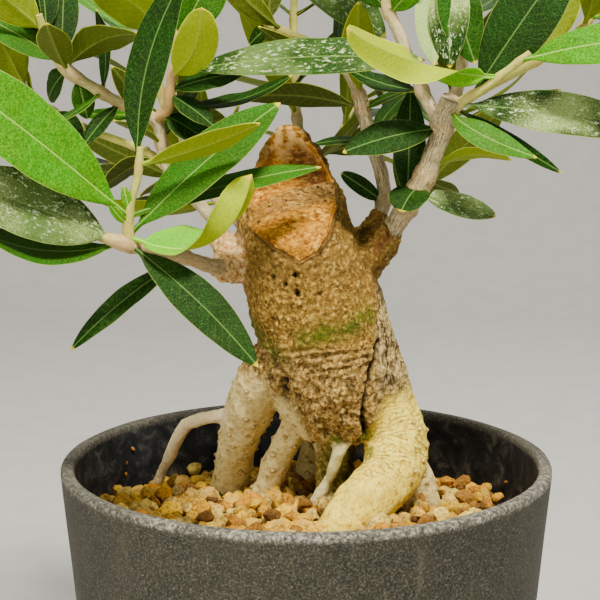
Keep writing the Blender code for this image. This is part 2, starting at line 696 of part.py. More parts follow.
def gravel_points(rim, draw):
    """Seeded tops and hollows of the gravel: each grain's top has six hollows round it."""
    row = GRAIN_STEP * math.sqrt(3) / 2
    reach = math.ceil(rim / row)
    points = []
    for across in range(-reach - 1, reach + 1):
        for along in range(-reach, reach + 1):
            x = (across + along % 2 / 2) * GRAIN_STEP
            y = along * row
            for side, up, heights in GRAIN_PATTERN:
                spot = Vector((x + side * GRAIN_STEP + draw.uniform(-GRAIN_STRAY, GRAIN_STRAY),
                               y + up * row + draw.uniform(-GRAIN_STRAY, GRAIN_STRAY)))
                if spot.length < rim - RIM_STRIP:
                    points.append((*spot, soil_height(*spot) + draw.uniform(*heights)))
    return points


def soil_rim(x, y):
    """Where the gravel meets the pot's wall, in the direction of a point."""
    scale = POT_RADIUS / math.hypot(x, y)
    z = soil_height(x * scale, y * scale)
    scale = (pot_inside(z) - 2 * GAP) / math.hypot(x, y)
    return x * scale, y * scale, z


def make_soil():
    """The gravel bed fills the pot, with a relief of grains on top and plain holes for the roots."""
    floor = POT_FLOOR + GAP
    bend = floor + INSIDE_ROUND + GAP
    profile = [
        (0, floor), (pot_inside(bend) - INSIDE_ROUND - 2 * GAP, floor), (pot_inside(bend) - GAP, bend),
        (pot_inside(SOIL_EDGE) - 2 * GAP, SOIL_EDGE), (0, SOIL_EDGE),
    ]
    points, faces = turned(profile, POT_SIDES)
    centre = len(points) - 1
    rim = [soil_rim(x, y) for x, y, _ in points[centre - POT_SIDES:centre]]
    points[centre - POT_SIDES:centre] = rim
    bed = rim + gravel_points(profile[-2][0], random.Random(SEED + 1))
    spots = [Vector(p[:2]) for p in bed]
    ring = [(step, (step + 1) % POT_SIDES) for step in range(POT_SIDES)]
    made = geometry.delaunay_2d_cdt(spots, ring, [], 1, 1e-6)
    back = [centre - POT_SIDES + source[0] for source in made[3]]
    points = points[:centre] + bed[POT_SIDES:]
    faces = [face for face in faces if centre not in face]
    faces += [tuple(back[corner] for corner in face) for face in made[2]]
    soil = add_object("soil", points, faces)
    cutters = new_collection("root_hole_cutters")
    for name in ROOT_FEET:
        top, bottom = foot_path(name)
        add_object("foot_hole", *tube(longer((top, bottom), GAP), FOOT_SIDES, GAP), cutters)
        mouth = longer(LIMBS[name][-MOUTH_POINTS:], MOUTH_DEPTH)
        add_object("mouth", *tube(mouth, FOOT_SIDES, HOLE_MARGIN), cutters)
    for path in ROOTLETS:
        end = longer(path[-MOUTH_POINTS:], GAP)
        add_object("rootlet_hole", *tube(end, ROOTLET_SIDES, 2 * GAP), cutters)
    combine(soil, cutters, "DIFFERENCE")
    keep_largest_body(soil)
    return soil


def stump_stack():
    """The stump's body as a stack of level oval rings."""
    sides = STACK_SIDES
    points = []
    for x, y, z, half_width, half_depth in STUMP_RINGS:
        for step in range(sides):
            turn = math.tau * step / sides
            points.append(Vector((x + half_width * math.cos(turn), y + half_depth * math.sin(turn), z)))
    faces = [tuple(range(sides)), tuple(range(len(points) - sides, len(points)))]
    for ring in range(len(STUMP_RINGS) - 1):
        low = ring * sides
        for step in range(sides):
            following = (step + 1) % sides
            faces.append((low + step, low + following, low + sides + following, low + sides + step))
    return points, faces


def bark_push(point):
    """How far bark lumps lift the surface at a point, in millimetres."""
    lumps = noise.noise(Vector((point.x, point.y, point.z * 0.8)) / BARK_LUMP)
    ribs = noise.noise(Vector((point.x * 1.6, point.y * 1.6, point.z * 0.35)) / BARK_LUMP)
    return BARK_RELIEF * (lumps + 0.6 * ribs)


def saw_block():
    """The wood that the saw took: everything in front of and above the saw line."""
    half = SAW_REACH
    outline = [*SAW_LINE, (-half, SAW_LINE[-1][1]), (-half, SAW_TOP), (SAW_LINE[0][0], SAW_TOP)]
    count = len(outline)
    points = [(-half, y, z) for y, z in outline] + [(half, y, z) for y, z in outline]
    faces = [tuple(range(count)), tuple(range(count, 2 * count))]
    for step in range(count):
        following = (step + 1) % count
        faces.append((step, following, count + following, count + step))
    return points, faces


def make_stump():
    """The stump with its roots and collars, one grown piece, sawn at the top."""
    stump = add_object("stump_with_roots", *stump_stack())
    limbs = new_collection("limbs")
    for name, path in LIMBS.items():
        add_object(name, *tube(path, LIMB_SIDES), limbs)
    combine(stump, limbs, "UNION")
    remesh = stump.modifiers.new("even_mesh", "REMESH")
    remesh.mode = "VOXEL"
    remesh.voxel_size = BARK_VOXEL * MM
    smooth = stump.modifiers.new("melt", "SMOOTH")
    smooth.factor = BARK_SMOOTHING
    smooth.iterations = BARK_ROUNDS
    settle(stump)
    for point, normal in [(p, p.normal.copy()) for p in stump.data.vertices]:
        point.co += normal * (bark_push(point.co / MM) * MM)
    thin = stump.modifiers.new("fewer_faces", "DECIMATE")
    thin.ratio = BARK_FACES / (2 * len(stump.data.polygons))
    settle(stump)
    added = new_collection("feet_and_rootlets")
    for name in ROOT_FEET:
        add_object("foot", *tube(foot_path(name), FOOT_SIDES), added)
    for path in ROOTLETS:
        add_object("rootlet", *tube(path, ROOTLET_SIDES), added)
    combine(stump, added, "UNION")
    cutters = new_collection("saw_and_sockets")
    add_object("saw", *saw_block(), cutters)
    for shoot in SHOOTS.values():
        start = longer(shoot["twigs"][0][:2][::-1], GAP)
        add_object("socket", *tube(start, SOCKET_SIDES, SOCKET_GAP), cutters)
    combine(stump, cutters, "DIFFERENCE")
    keep_largest_body(stump)
    return stump


def make_shoot(name, shoot, blades):
    """A leafy shoot: its twigs and leaves fused into one body."""
    made = add_object(name, *tube(shoot["twigs"][0], TWIG_SIDES))
    members = new_collection(name + "_members")
    for path in shoot["twigs"][1:]:
        add_object("twig", *tube(path, TWIG_SIDES), members)
    for blade in blades:
        base, _ = place_on(shoot["twigs"][blade.twig], blade.at)
        stations = leaf_stations(blade, blade in shoot["leaves"])
        add_object("blade", *leaf_solid(blade, base, stations), members)
    combine(made, members, "UNION")
    keep_largest_body(made)
    return made


def finish(thing, root, look):
    """Give an object its material and hang it on the plant's empty."""
    colour, roughness = COLOURS[look]
    thing.data.materials.clear()
    thing.data.materials.append(material(thing.name + "_finish", colour, roughness))
    thing.data.shade_smooth()
    thing.data.set_sharp_from_angle(angle=SHARP_ANGLE)
    thing.parent = root


def main():
    clear_scene()
    root = bpy.data.objects.new("olive_bonsai", None)
    bpy.context.scene.collection.objects.link(root)
    finish(make_pot(), root, "pot")
    finish(make_soil(), root, "soil")
    finish(make_stump(), root, "stump_with_roots")
    for name, blades in plant_layout().items():
        finish(make_shoot(name, SHOOTS[name], blades), root, "shoot")


main()
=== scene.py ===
"""Looks of the olive bonsai in its pot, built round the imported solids.

Sizes are in millimetres, as in the part's source, and are scaled once when a mesh is made. +X is the
right of the photographed side and +Y points away from it. Angles are in degrees. The tables and the
layout code are those of the part's source, so the same seeded draws give the same leaves.
"""
import json
import math
import random
from collections import namedtuple

import bmesh
import bpy
import numpy as np
from mathutils import Matrix, Vector, noise
from mathutils.bvhtree import BVHTree

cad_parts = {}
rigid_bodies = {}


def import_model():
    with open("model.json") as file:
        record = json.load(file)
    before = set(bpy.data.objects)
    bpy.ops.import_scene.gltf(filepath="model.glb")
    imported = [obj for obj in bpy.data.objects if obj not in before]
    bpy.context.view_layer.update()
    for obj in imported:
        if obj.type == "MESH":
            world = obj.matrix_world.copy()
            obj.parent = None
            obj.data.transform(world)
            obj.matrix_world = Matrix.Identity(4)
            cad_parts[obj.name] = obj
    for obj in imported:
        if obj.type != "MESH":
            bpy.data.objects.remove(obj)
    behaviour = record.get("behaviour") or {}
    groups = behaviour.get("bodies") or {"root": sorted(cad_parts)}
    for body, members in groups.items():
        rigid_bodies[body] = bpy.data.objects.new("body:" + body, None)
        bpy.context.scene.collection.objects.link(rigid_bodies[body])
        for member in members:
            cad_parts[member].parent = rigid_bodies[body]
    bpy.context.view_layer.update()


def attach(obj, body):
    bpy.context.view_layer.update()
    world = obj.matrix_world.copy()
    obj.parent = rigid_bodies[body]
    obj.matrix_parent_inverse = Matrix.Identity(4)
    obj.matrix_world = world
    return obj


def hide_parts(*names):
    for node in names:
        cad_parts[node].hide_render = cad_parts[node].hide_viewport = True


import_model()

MM = 0.001

# Camera in metres, millimetres and degrees, and lights: name, place, size, watts and colour
CAMERA_SPOT = (-0.001952, -0.447763, 0.249977)
CAMERA_TILT = 80.388
CAMERA_LENS = 90
CAMERA_SENSOR = 36
LIGHTS = (
    ("key", (0.22, -0.66, 1.38), 0.26, 54, (1.0, 0.93, 0.80)),
    ("fill_left", (-0.95, -0.80, 0.46), 0.7, 14, (1.0, 0.95, 0.84)),
    ("fill_right", (0.9, -0.9, 0.5), 1.2, 3, (0.96, 0.97, 1.0)),
    ("top_back", (0.35, 0.75, 1.0), 0.5, 5, (1.0, 0.98, 0.94)),
)
WORLD_LIGHT = 0.15

# Pot
POT_RADIUS = 75.0
POT_HEIGHT = 125.0
POT_TAPER = math.tan(math.radians(5.2))
POT_WALL = 4.0
POT_FLOOR = 5.0
POT_SIDES = 240
DRAIN_HOLES = 6
DRAIN_RADIUS = 4.5
DRAIN_RING = 40.0

# Gravel
SOIL_EDGE = 104.0
SOIL_MOUND = 3.5
SOIL_SLOPE = 0.05
STONE_STEP = 4.7

# Stump and roots
STACK_SIDES = 28
LIMB_SIDES = 14
BARK_VOXEL = 0.62
BARK_RELIEF = 0.9
BARK_LUMP = 7.0

# Shoots and leaves
TWIG_SIDES = 6
TWIG_GUARD = 0.6
LEAF_FOLD = 0.10
PETIOLE_PART = 0.08
PETIOLE_WIDTH = 1.5
GUARD_THICK = 2.4
GUARD_STATIONS = (0.16, 0.34, 0.52, 0.70, 0.88, 1.0)
RULE_TRIES = 14
SEED = 7

# Horizontal rings of the stump: centre x, y, z, then half width and half depth
STUMP_RINGS = (
    (11, 6, 130, 13, 11), (11, 6, 137, 19, 15), (9.5, 5, 148, 22, 17), (6.5, 4, 160, 21.5, 17),
    (3.5, 4, 170, 21, 17.5), (0.8, 4, 180, 20.5, 18), (-1.5, 4, 190, 19, 18),
    (-3.6, 5, 198, 17, 17), (-3.9, 6, 205, 15, 15.5), (-4.3, 7, 212, 12, 13),
    (-4.7, 8.5, 219, 8.8, 10), (-5.6, 10.5, 225.5, 4.3, 5),
)

# Limbs that melt into the stump: points of x, y, z and radius
LIMBS = {
    "right_root": ((19, 6, 152, 10.2), (24, 4, 139, 10), (27.2, 2, 130, 9.8), (26, -4, 121, 9.4),
                   (17.8, -9, 114, 8), (9, -13, 105, 6.8), (7, -14, 101, 6)),
    "front_left_root": ((0, 3, 147, 8), (-2.2, 5, 138, 5), (-5, 9, 130, 3.9), (-9.3, 13, 120, 4.2),
                        (-12.3, 16.6, 111, 4.4), (-14, 18.6, 105, 4.4), (-14.8, 18.8, 101, 4.2)),
    "left_root": ((-6, 6, 158, 8), (-12.5, 7, 150, 8), (-16.8, 12, 140, 7.8), (-20.8, 18, 129, 6.7),
                  (-23.2, 24.5, 118, 6.1), (-25.2, 30.5, 106, 5.9), (-26, 31.5, 101, 5.8)),
    "under_root": ((10, 14, 135, 8), (9, 12, 127, 6.6), (9, 9, 117, 5.8), (7, 6, 106, 4.8),
                   (7, 5, 101, 4.4)),
    "right_back_root": ((25, 8, 139, 8), (29.5, 9, 131, 5.8), (33, 12, 121, 4.9), (38, 15, 107, 5),
                        (40, 16, 101, 4.6)),
    "right_low_root": ((26, 6, 127, 7), (29, 7, 118, 5.2), (30, 4, 106, 4.4), (30, 3, 101, 4.2)),
    "back_root": ((8, 16, 152, 10), (6, 26, 137, 7.5), (4, 37, 119, 5.8), (2, 44, 106, 5.2),
                  (2, 45, 101, 5)),
    "back_right_root": ((20, 16, 148, 8), (26, 26, 131, 5.6), (31, 35, 113, 4.8), (33, 38, 106, 4.5),
                        (34, 39, 101, 4.3)),
    "left_collar": ((-11, 2, 183, 10), (-18, 1, 185, 6.5), (-23, -2, 184.5, 4.9)),
    "left_back_collar": ((-14, 4, 187, 7), (-22, 5.5, 189, 4.4), (-25, 6, 190, 4)),
    "right_collar": ((10, 5, 182, 11), (18, 4.5, 186, 6.8), (22.7, 3.1, 191.5, 5.2)),
    "right_back_collar": ((12, 10, 186, 8), (18, 13, 191, 5), (21, 14, 194, 4.2)),
    "back_left_collar": ((-8, 12, 182, 9), (-13, 19, 187, 5), (-15, 22, 189, 4)),
    "back_middle_collar": ((-3, 14, 194, 8), (-1, 21, 199, 4.8), (0, 24, 201, 4)),
    "back_right_collar": ((10, 14, 176, 9), (16, 20, 180, 5.2), (18, 22, 182, 4.2)),
}

# The collars' ends beyond the solids' plain ones, worn down to their twigs
COLLAR_TIPS = {
    "left_collar": ((-26, -7, 185.5, 3.2),), "left_back_collar": ((-26.5, 7, 193.5, 2.8),),
    "right_collar": ((24.4, 2.1, 194, 4.7), (26.2, 0.9, 196.3, 3.9)),
    "right_back_collar": ((22, 14.5, 196.5, 3.4), (23, 15, 199, 2.8)),
}

# Roots that go into the gravel: the limb's name and the radius of its plain foot
ROOT_FEET = {
    "right_root": 5.6, "front_left_root": 3.9, "left_root": 5.6, "under_root": 4.0,
    "right_back_root": 4.2, "right_low_root": 3.8, "back_root": 4.6, "back_right_root": 4.0,
}

# Thin roots with free runs, ending in the gravel
ROOTLETS = (
    ((-20, 13, 137, 3.2), (-27, 17, 134, 2.6), (-34, 20, 132, 2.3), (-39, 24, 129, 2.3),
     (-43, 29, 122, 2.1), (-47, 34, 112, 2.0), (-50, 37, 104, 1.9), (-52, 39, 97, 1.8)),
    ((12, -3, 134, 2.2), (10, -4, 128, 2.0), (7, 0, 118, 1.9), (2, 4, 107, 1.8), (1, 5, 98, 1.7)),
)

# Side view of the sawn top, y and z: the saw took everything in front of this line
SAW_LINE = (
    (18, 232), (12.5, 225), (7, 213), (2, 206.5), (-3, 204), (-6, 200), (-11, 192.5),
    (-13.6, 187), (-17.5, 180), (-30, 172),
)

SAW_REACH = 45.0
SAW_TOP = 260.0

Leaf = namedtuple("Leaf", "twig at heading rise length width roll bend side twist round_ span cup")


def leaf(twig, at, heading, rise, length, width, roll=0, bend=0.05, side=0.0, twist=0, round_=0.8,
         span=(0.0, 1.0), cup=LEAF_FOLD):
    """One leaf on twig number `twig`, at a place counted along the twig's points.

    It twists between the two shares of its length in `span`, and its sides rise by `cup` of its half width.
    """
    return Leaf(twig, at, heading, rise, length, width, roll, bend, side, twist, round_, span, cup)


# A rule places pairs of leaves along a twig: twig, first place, last place, pairs, leaf length
Rule = namedtuple("Rule", "twig first last pairs length")

SHOOTS = {
    "left_front_shoot": {
        "twigs": (
            ((-21, -1.5, 184, 3.0), (-28, -10, 186, 2.3), (-35, -20, 190, 1.9), (-42, -30, 193, 1.8),
             (-49, -38, 196, 2.0), (-57, -42, 199, 1.3)),
            ((-49, -38, 196, 1.6), (-49, -39, 202, 1.3), (-48, -40, 208, 1.1), (-46, -41, 215, 1.1),
             (-45, -42, 223, 0.9)),
        ),
        "leaves": (
            leaf(1, 1.3, -148, 38, 74, 21.5, -73, 0.03, round_=0.9),
            leaf(0, 4.4, -151, 23, 51, 18, -73, 0.04),
            leaf(0, 4.2, -147, 10, 44, 12.5, -35, -0.13),
            leaf(0, 2.0, -163, -37, 42, 9, -31),
            leaf(0, 4.0, -16, -41, 49, 13, 40, 0.07),
            leaf(1, 0.35, 8, 26.5, 38, 14.4, 25, -0.19, 0.25, -144, 0.42, (0.29, 1.21), 0.81),
            leaf(1, 0.4, 14, 40, 56, 15.5, 48),
            leaf(1, 3.4, -5, 19, 35, 10, -40, -0.03),
            leaf(1, 1.3, 24, 11.5, 59, 9, 33, 0.04),
            leaf(1, 3.4, 7, 75, 53, 13, 53, -0.03, -0.12),
            leaf(1, 0.9, -139, 47, 9, 3, -140),
            leaf(1, 1.5, -114, 69, 8, 3, -150),
        ),
        "rules": (),
    },
    "left_back_shoot": {
        "twigs": (
            ((-24, 6, 190, 2.4), (-28, 8, 197, 2.0), (-35, 9, 205, 1.9), (-42, 9, 213, 1.8),
             (-44, 9, 221, 1.8), (-46, 8, 228, 1.8), (-56, 6, 233, 1.7), (-64, 4, 238, 1.6),
             (-71, 2, 243, 1.7), (-76, 0, 251, 1.2), (-78, -3, 259, 1.0)),
            ((-42, 9, 213, 1.5), (-48, 14, 217, 1.3), (-55, 18, 220, 1.2), (-64, 20, 223, 1.1),
             (-73, 22, 227, 1.1), (-80, 22, 231, 1.1), (-88, 20, 238, 0.9)),
            ((-46, 8, 228, 1.6), (-42, 6, 231, 1.5), (-41, 4, 235, 1.4), (-40, 3, 241, 1.3),
             (-39, 2, 246, 1.2), (-38, 3, 262, 1.1), (-36, 6, 280, 1.0), (-34, 8, 296, 0.8)),
        ),
        "leaves": (
            leaf(1, 0.9, -155, -30, 20, 11, 44),
            leaf(0, 2.6, -148, -19, 14, 9, 32),
            leaf(0, 9.4, -150, 37, 26, 13, 58),
            leaf(0, 8.1, -30, 19, 29, 15, -24, 0.13),
            leaf(0, 8.2, 179, 30, 30, 12, -48),
            leaf(0, 9.3, 149, 55, 30, 12, -86),
            leaf(0, 9.1, 106, 63, 28, 9, -4),
            leaf(0, 8.3, 91, 65, 28, 9.5, 5),
            leaf(2, 4.35, -155, 36, 35, 18, 46),
            leaf(1, 4.8, -45, -37, 18, 10, 60),
            leaf(0, 7.6, 27, -77, 13, 7, 100),
            leaf(0, 6.0, -137, -42, 18, 6, -28),
            leaf(0, 8.0, 127, -36, 15, 10, -86),
            leaf(1, 5.8, -126, 57, 29, 14, 60),
            leaf(1, 5.6, 159, 63, 16, 5, 54),
            leaf(2, 3.0, -57, 47, 27, 12.5, -35, -0.05, -0.10, round_=0.5),
            leaf(2, 4.3, 8, 62, 29, 15, 93),
            leaf(2, 2.3, -4, 13, 23, 11, 39),
            leaf(2, 1.4, 10, 13, 39, 10, 18, -0.10),
            leaf(2, 2.1, -20, -33, 17, 9, 29),
            leaf(2, 0.9, 27, -13, 22, 9, -47),
            leaf(2, 0.6, -10, -31, 18, 11, 36),
            leaf(2, 3.2, -8, 3, 75, 13.5, 53, 0.06),
        ),
        "rules": (Rule(2, 5.0, 7.0, 4, 34), Rule(0, 4.0, 8.0, 4, 30)),
    },
    "right_front_shoot": {
        "twigs": (
            ((22.5, 3.3, 191.5, 3.6), (26, 1, 196, 3.3), (29, -1, 201, 3.2), (32, -3, 206, 3.1),
             (35, -4, 212, 3.0), (37, -5, 218, 3.0), (39, -6, 224, 3.0), (40, -6, 229, 3.4),
             (42, -9, 235, 2.9)),
            ((39, -6, 228, 2.2), (36, -4, 233, 2.0), (34, -3, 237, 1.9), (30, -1, 246, 1.8),
             (27, 0, 254, 1.8), (23, 2, 263, 1.6), (20, 4, 280, 1.2), (18, 6, 296, 0.9)),
            ((40, -6, 229, 1.8), (45, -9, 234, 1.5), (51, -12, 238, 1.3), (56, -14, 242, 1.2),
             (63, -18, 248, 1.0)),
            ((40, -5, 230, 1.7), (52, 2, 237, 1.5), (64, 6, 243, 1.4), (75, 7, 249, 1.3),
             (83, 8, 256, 1.3), (88, 9, 265, 1.1), (92, 10, 279, 0.8)),
            ((41, -5, 229, 2.2), (44, -1, 236, 1.9), (46, 1, 245, 1.8), (45, 0, 258, 1.7),
             (43, -4, 273, 1.6), (41, -3, 288, 1.2), (38, 0, 304, 0.9)),
        ),
        "leaves": (
            leaf(2, 2.8, -156.5, 15.6, 50, 11.5, -95, -0.10, -0.06, -150, 0.45, (0.06, 0.53), 0.69),
            leaf(4, 4.6, -121, -75, 39, 10, 162, 0.05, -0.08),
            leaf(4, 4.15, -100, -73, 33, 13, 20),
            leaf(4, 4.3, -49, -74, 34, 13, 35, 0.05, 0.06),
            leaf(2, 1.5, -7, 56, 50, 18.5, 79),
            leaf(3, 2.4, -14, 71, 32, 14, -90),
            leaf(2, 3.6, -18, 8, 49, 13, 62, 0.08),
            leaf(2, 0.8, -12, -7, 56, 14.5, 55),
            leaf(2, 0.4, -37, -23, 31, 9.5, 32, 0.10, 0.16),
            leaf(3, 0.3, 26, -28, 44, 6, 62, 0.0),
            leaf(0, 4.15, 6, 8, 26, 8, -32, 0.16),
            leaf(0, 6.4, -158, -11, 32, 11.5, -47, 0.07),
            leaf(0, 3.4, -115, -22, 15, 12, -10, 0.10, round_=0.5),
            leaf(0, 3.3, -21, -16, 25, 9, 39, -0.02, round_=0.65),
            leaf(0, 3.9, 41, -19, 16, 5, -43, -0.03),
            leaf(0, 2.3, 83, 68, 37, 10, 7),
            leaf(1, 2.0, 153, 14, 25, 8, -31, -0.06),
            leaf(1, 4.7, -174, 43, 18, 8, -93),
            leaf(1, 4.6, -46, 41, 17, 8, 129),
            leaf(3, 4.2, -11, 15, 23, 11, 55),
            leaf(3, 4.0, -16, -20, 22, 11, 50),
        ),
        "rules": (Rule(1, 5.0, 7.0, 4, 32), Rule(3, 4.0, 6.0, 4, 30), Rule(4, 4.6, 6.0, 4, 34)),
    },
    "right_back_shoot": {
        "twigs": (
            ((20, 13.5, 193, 2.8), (23, 15, 199, 2.4), (24, 16, 205, 2.2), (23, 17, 212, 2.2),
             (20, 19, 221, 2.2), (18, 20, 229, 2.2), (16, 21, 236, 2.0), (13, 22, 242, 1.9),
             (9, 24, 247, 1.7), (-1, 28, 252, 1.4), (-12, 33, 257, 1.3), (-14, 36, 267, 1.1),
             (-16, 38, 284, 1.0), (-16, 40, 300, 0.8)),
        ),
        "leaves": (
            leaf(0, 5.2, -34, 21, 16, 7, 33),
            leaf(0, 5.3, 175, 4, 40, 10, 50, 0.09),
            leaf(0, 4.0, 171, -5, 19, 5, -27),
            leaf(0, 1.6, -157, 33, 17, 5.5, -89, round_=0.55),
            leaf(0, 10.0, -71, 80, 18, 8, -31),
            leaf(0, 10.3, 171, 39, 17, 8, -82),
            leaf(0, 9.9, 153, -38, 10, 6, -71),
            leaf(0, 12.35, -24, -40, 58, 17, 62, 0.04),
        ),
        "rules": (Rule(0, 11.0, 13.0, 4, 34), Rule(0, 4.0, 9.6, 4, 32)),
    },
    "back_left_shoot": {
        "twigs": (
            ((-14, 20.5, 188, 2.4), (-20, 30, 193, 2.1), (-30, 41, 202, 1.9), (-40, 50, 214, 1.7),
             (-47, 57, 230, 1.5), (-52, 62, 250, 1.2), (-54, 65, 272, 0.8)),
            ((-30, 41, 202, 1.5), (-37, 52, 203, 1.3), (-46, 64, 207, 1.1), (-55, 72, 215, 0.8)),
        ),
        "leaves": (),
        "rules": (Rule(0, 1.8, 6.0, 8, 42), Rule(1, 0.8, 3.0, 4, 38)),
    },
    "back_middle_shoot": {
        "twigs": (
            ((-0.5, 22.5, 200, 2.5), (1, 34, 206, 2.1), (0, 48, 213, 1.9), (-3, 60, 226, 1.7),
             (-4, 68, 244, 1.4), (-4, 72, 264, 1.2), (-2, 74, 288, 0.8)),
            ((0, 48, 213, 1.5), (6, 62, 214, 1.3), (12, 74, 220, 1.1), (17, 82, 230, 0.8)),
        ),
        "leaves": (),
        "rules": (Rule(0, 1.8, 6.0, 8, 42), Rule(1, 0.8, 3.0, 4, 38)),
    },
    "back_right_shoot": {
        "twigs": (
            ((17, 21, 181, 2.5), (26, 30, 187, 2.1), (34, 40, 198, 1.9), (43, 49, 211, 1.7),
             (48, 56, 229, 1.5), (51, 61, 250, 1.2), (52, 64, 274, 0.8)),
            ((34, 40, 198, 1.5), (42, 52, 203, 1.3), (47, 64, 212, 1.1), (50, 74, 226, 0.8)),
        ),
        "leaves": (),
        "rules": (Rule(0, 1.8, 6.0, 8, 42), Rule(1, 0.8, 3.0, 4, 38)),
    },
}

# Open air that the rules leave free, so the shoots show the same gaps: low and high x, then z
OPEN_AIR = ((28, 140, 100, 202), (44, 140, 100, 213), (-140, -26, 100, 196), (-1, 14, 220, 240))

# Share of bright yellow-green young colour, by the leaf's number in its shoot
YOUTH = {
    "left_front_shoot": {0: 0.75, 1: 0.1, 2: 0.25, 5: 1.0, 6: 0.3, 7: 0.6, 8: 0.35, 10: 0.9, 11: 0.9},
    "left_back_shoot": {2: 0.5, 3: 0.2, 4: 0.3, 8: 0.6, 10: 0.2, 13: 0.4, 14: 0.4, 15: 0.9, 16: 0.3,
                        22: 0.15},
    "right_front_shoot": {0: 1.0, 1: 0.4, 3: 0.2, 5: 0.5, 6: 0.75, 8: 0.35, 10: 0.6, 17: 0.2, 18: 0.6,
                          19: 0.5, 20: 0.5},
    "right_back_shoot": {0: 0.2, 7: 0.15},
}

# Share of white specks and pale dust. From 0.45 it adds pale patches of painted glare on top, and over 1
# stronger painted glare on top and a sage tint below
SPECKS_DUST_AND_GLARE = {
    "left_front_shoot": {1: 1.5, 4: 0.55, 3: 0.4, 6: 0.35, 8: 0.5},
    "left_back_shoot": {22: 1.2},
    "right_front_shoot": {1: 1.8, 2: 1.8, 7: 1.6, 8: 0.62, 13: 1.4, 4: 0.3},
    "right_back_shoot": {7: 0.8},
}

# Share of orange in a twig's bark, by its number in its shoot
ORANGE = {"left_back_shoot": {2: 0.9}, "left_front_shoot": {0: 0.3}}


def place_on(path, at):
    """The point and direction at a place counted along a twig's points."""
    first = min(int(at), len(path) - 2)
    start = Vector(path[first][:3])
    end = Vector(path[first + 1][:3])
    return start.lerp(end, at - first), (end - start).normalized()


def way_and_up(heading, rise):
    """The direction of a heading and rise in radians, and the direction square to it that points up."""
    x, y = math.cos(heading), math.sin(heading)
    level, high = math.cos(rise), math.sin(rise)
    return Vector((level * x, level * y, high)), Vector((-high * x, -high * y, level))


def leaf_curve(blade, base, share):
    """Centre, direction, face and sideways vector of a leaf at a share of its length."""
    axis, up = way_and_up(math.radians(blade.heading), math.radians(blade.rise))
    face = Matrix.Rotation(math.radians(blade.roll), 3, axis) @ up
    sideways = axis.cross(face)
    arch = 4 * share * (1 - share)
    slope = 4 * (1 - 2 * share)
    shift = face * blade.bend + sideways * blade.side
    centre = base + (axis * share + shift * arch) * blade.length
    way = (axis + shift * slope).normalized()
    face = (face - way * face.dot(way)).normalized()
    first, last = blade.span
    turned_part = min(1.0, max(0.0, (share - first) / (last - first)))
    face = Matrix.Rotation(math.radians(blade.twist * turned_part), 3, way) @ face
    return centre, way, face, way.cross(face)


def leaf_half_width(blade, share):
    """Half the blade's width: a thin stalk, then a lance shape."""
    if share <= PETIOLE_PART:
        return PETIOLE_WIDTH / 2
    part = (share - PETIOLE_PART) / (1 - PETIOLE_PART)
    return max(PETIOLE_WIDTH / 2, blade.width / 2 * (4 * part * (1 - part)) ** blade.round_)


def ring_faces(rings, sides):
    """Quads between rings of `sides` points each, ring by ring."""
    faces = []
    for low in range(0, (rings - 1) * sides, sides):
        for step in range(sides):
            following = low + (step + 1) % sides
            faces.append((low + step, following, following + sides, low + step + sides))
    return faces


def leaf_guard(blade, base):
    """A thicker box-like leaf without its stalk, which keeps other leaves away."""
    points = []
    for share in GUARD_STATIONS:
        centre, _, face, sideways = leaf_curve(blade, base, share)
        half = leaf_half_width(blade, share)
        middle = centre + face * (half * blade.cup / 2)
        for across, above in ((1, 1), (-1, 1), (-1, -1), (1, -1)):
            points.append(middle + sideways * (half * across) + face * (GUARD_THICK / 2 * above))
    ends = [(0, 1, 2, 3), tuple(range(len(points) - 4, len(points)))]
    return points, ends + ring_faces(len(GUARD_STATIONS), 4)


def bounds_of(points):
    """Lowest and highest corner of some points."""
    low = [min(p[axis] for p in points) for axis in range(3)]
    high = [max(p[axis] for p in points) for axis in range(3)]
    return low, high


class Crowd:
    """What is already placed, so that a new leaf can be kept clear of it."""

    def __init__(self):
        self.members = []

    def add(self, points, faces):
        self.members.append((bounds_of(points), BVHTree.FromPolygons(points, faces)))

    def touches(self, points, faces):
        low, high = bounds_of(points)
        tree = BVHTree.FromPolygons(points, faces)
        for (other_low, other_high), other in self.members:
            apart = any(low[k] > other_high[k] or high[k] < other_low[k] for k in range(3))
            if not apart and tree.overlap(other):
                return True
        return False


def in_open_air(blade, base):
    """True where a leaf would fill a gap that the photographed side shows."""
    for share in (0.35, 0.7, 1.0):
        centre = leaf_curve(blade, base, share)[0]
        for low_x, high_x, low_z, high_z in OPEN_AIR:
            if low_x < centre.x < high_x and low_z < centre.z < high_z:
                return True
    return False


def rule_leaf(rule, at, way, turn, draw):
    """One leaf of a pair: it leaves the twig at a turn round it and faces the twig's tip."""
    outward = Matrix.Rotation(turn, 3, way) @ way.orthogonal().normalized()
    spread = math.radians(draw.uniform(38, 66))
    axis = (way * math.cos(spread) + outward * math.sin(spread)).normalized()
    heading = math.atan2(axis.y, axis.x)
    rise = math.asin(max(-1.0, min(1.0, axis.z)))
    _, up = way_and_up(heading, rise)
    wanted = way * math.sin(spread) - outward * math.cos(spread) + Vector((0, 0, 0.5))
    wanted = (wanted - axis * wanted.dot(axis)).normalized()
    roll = math.degrees(math.atan2(wanted.dot(axis.cross(up)), wanted.dot(up)))
    length = rule.length * draw.uniform(0.72, 1.15)
    return leaf(rule.twig, at, math.degrees(heading), math.degrees(rise), length,
                length * draw.uniform(0.24, 0.31), roll + draw.uniform(-18, 18),
                draw.uniform(-0.10, 0.06), draw.uniform(-0.04, 0.04), draw.uniform(-15, 15))


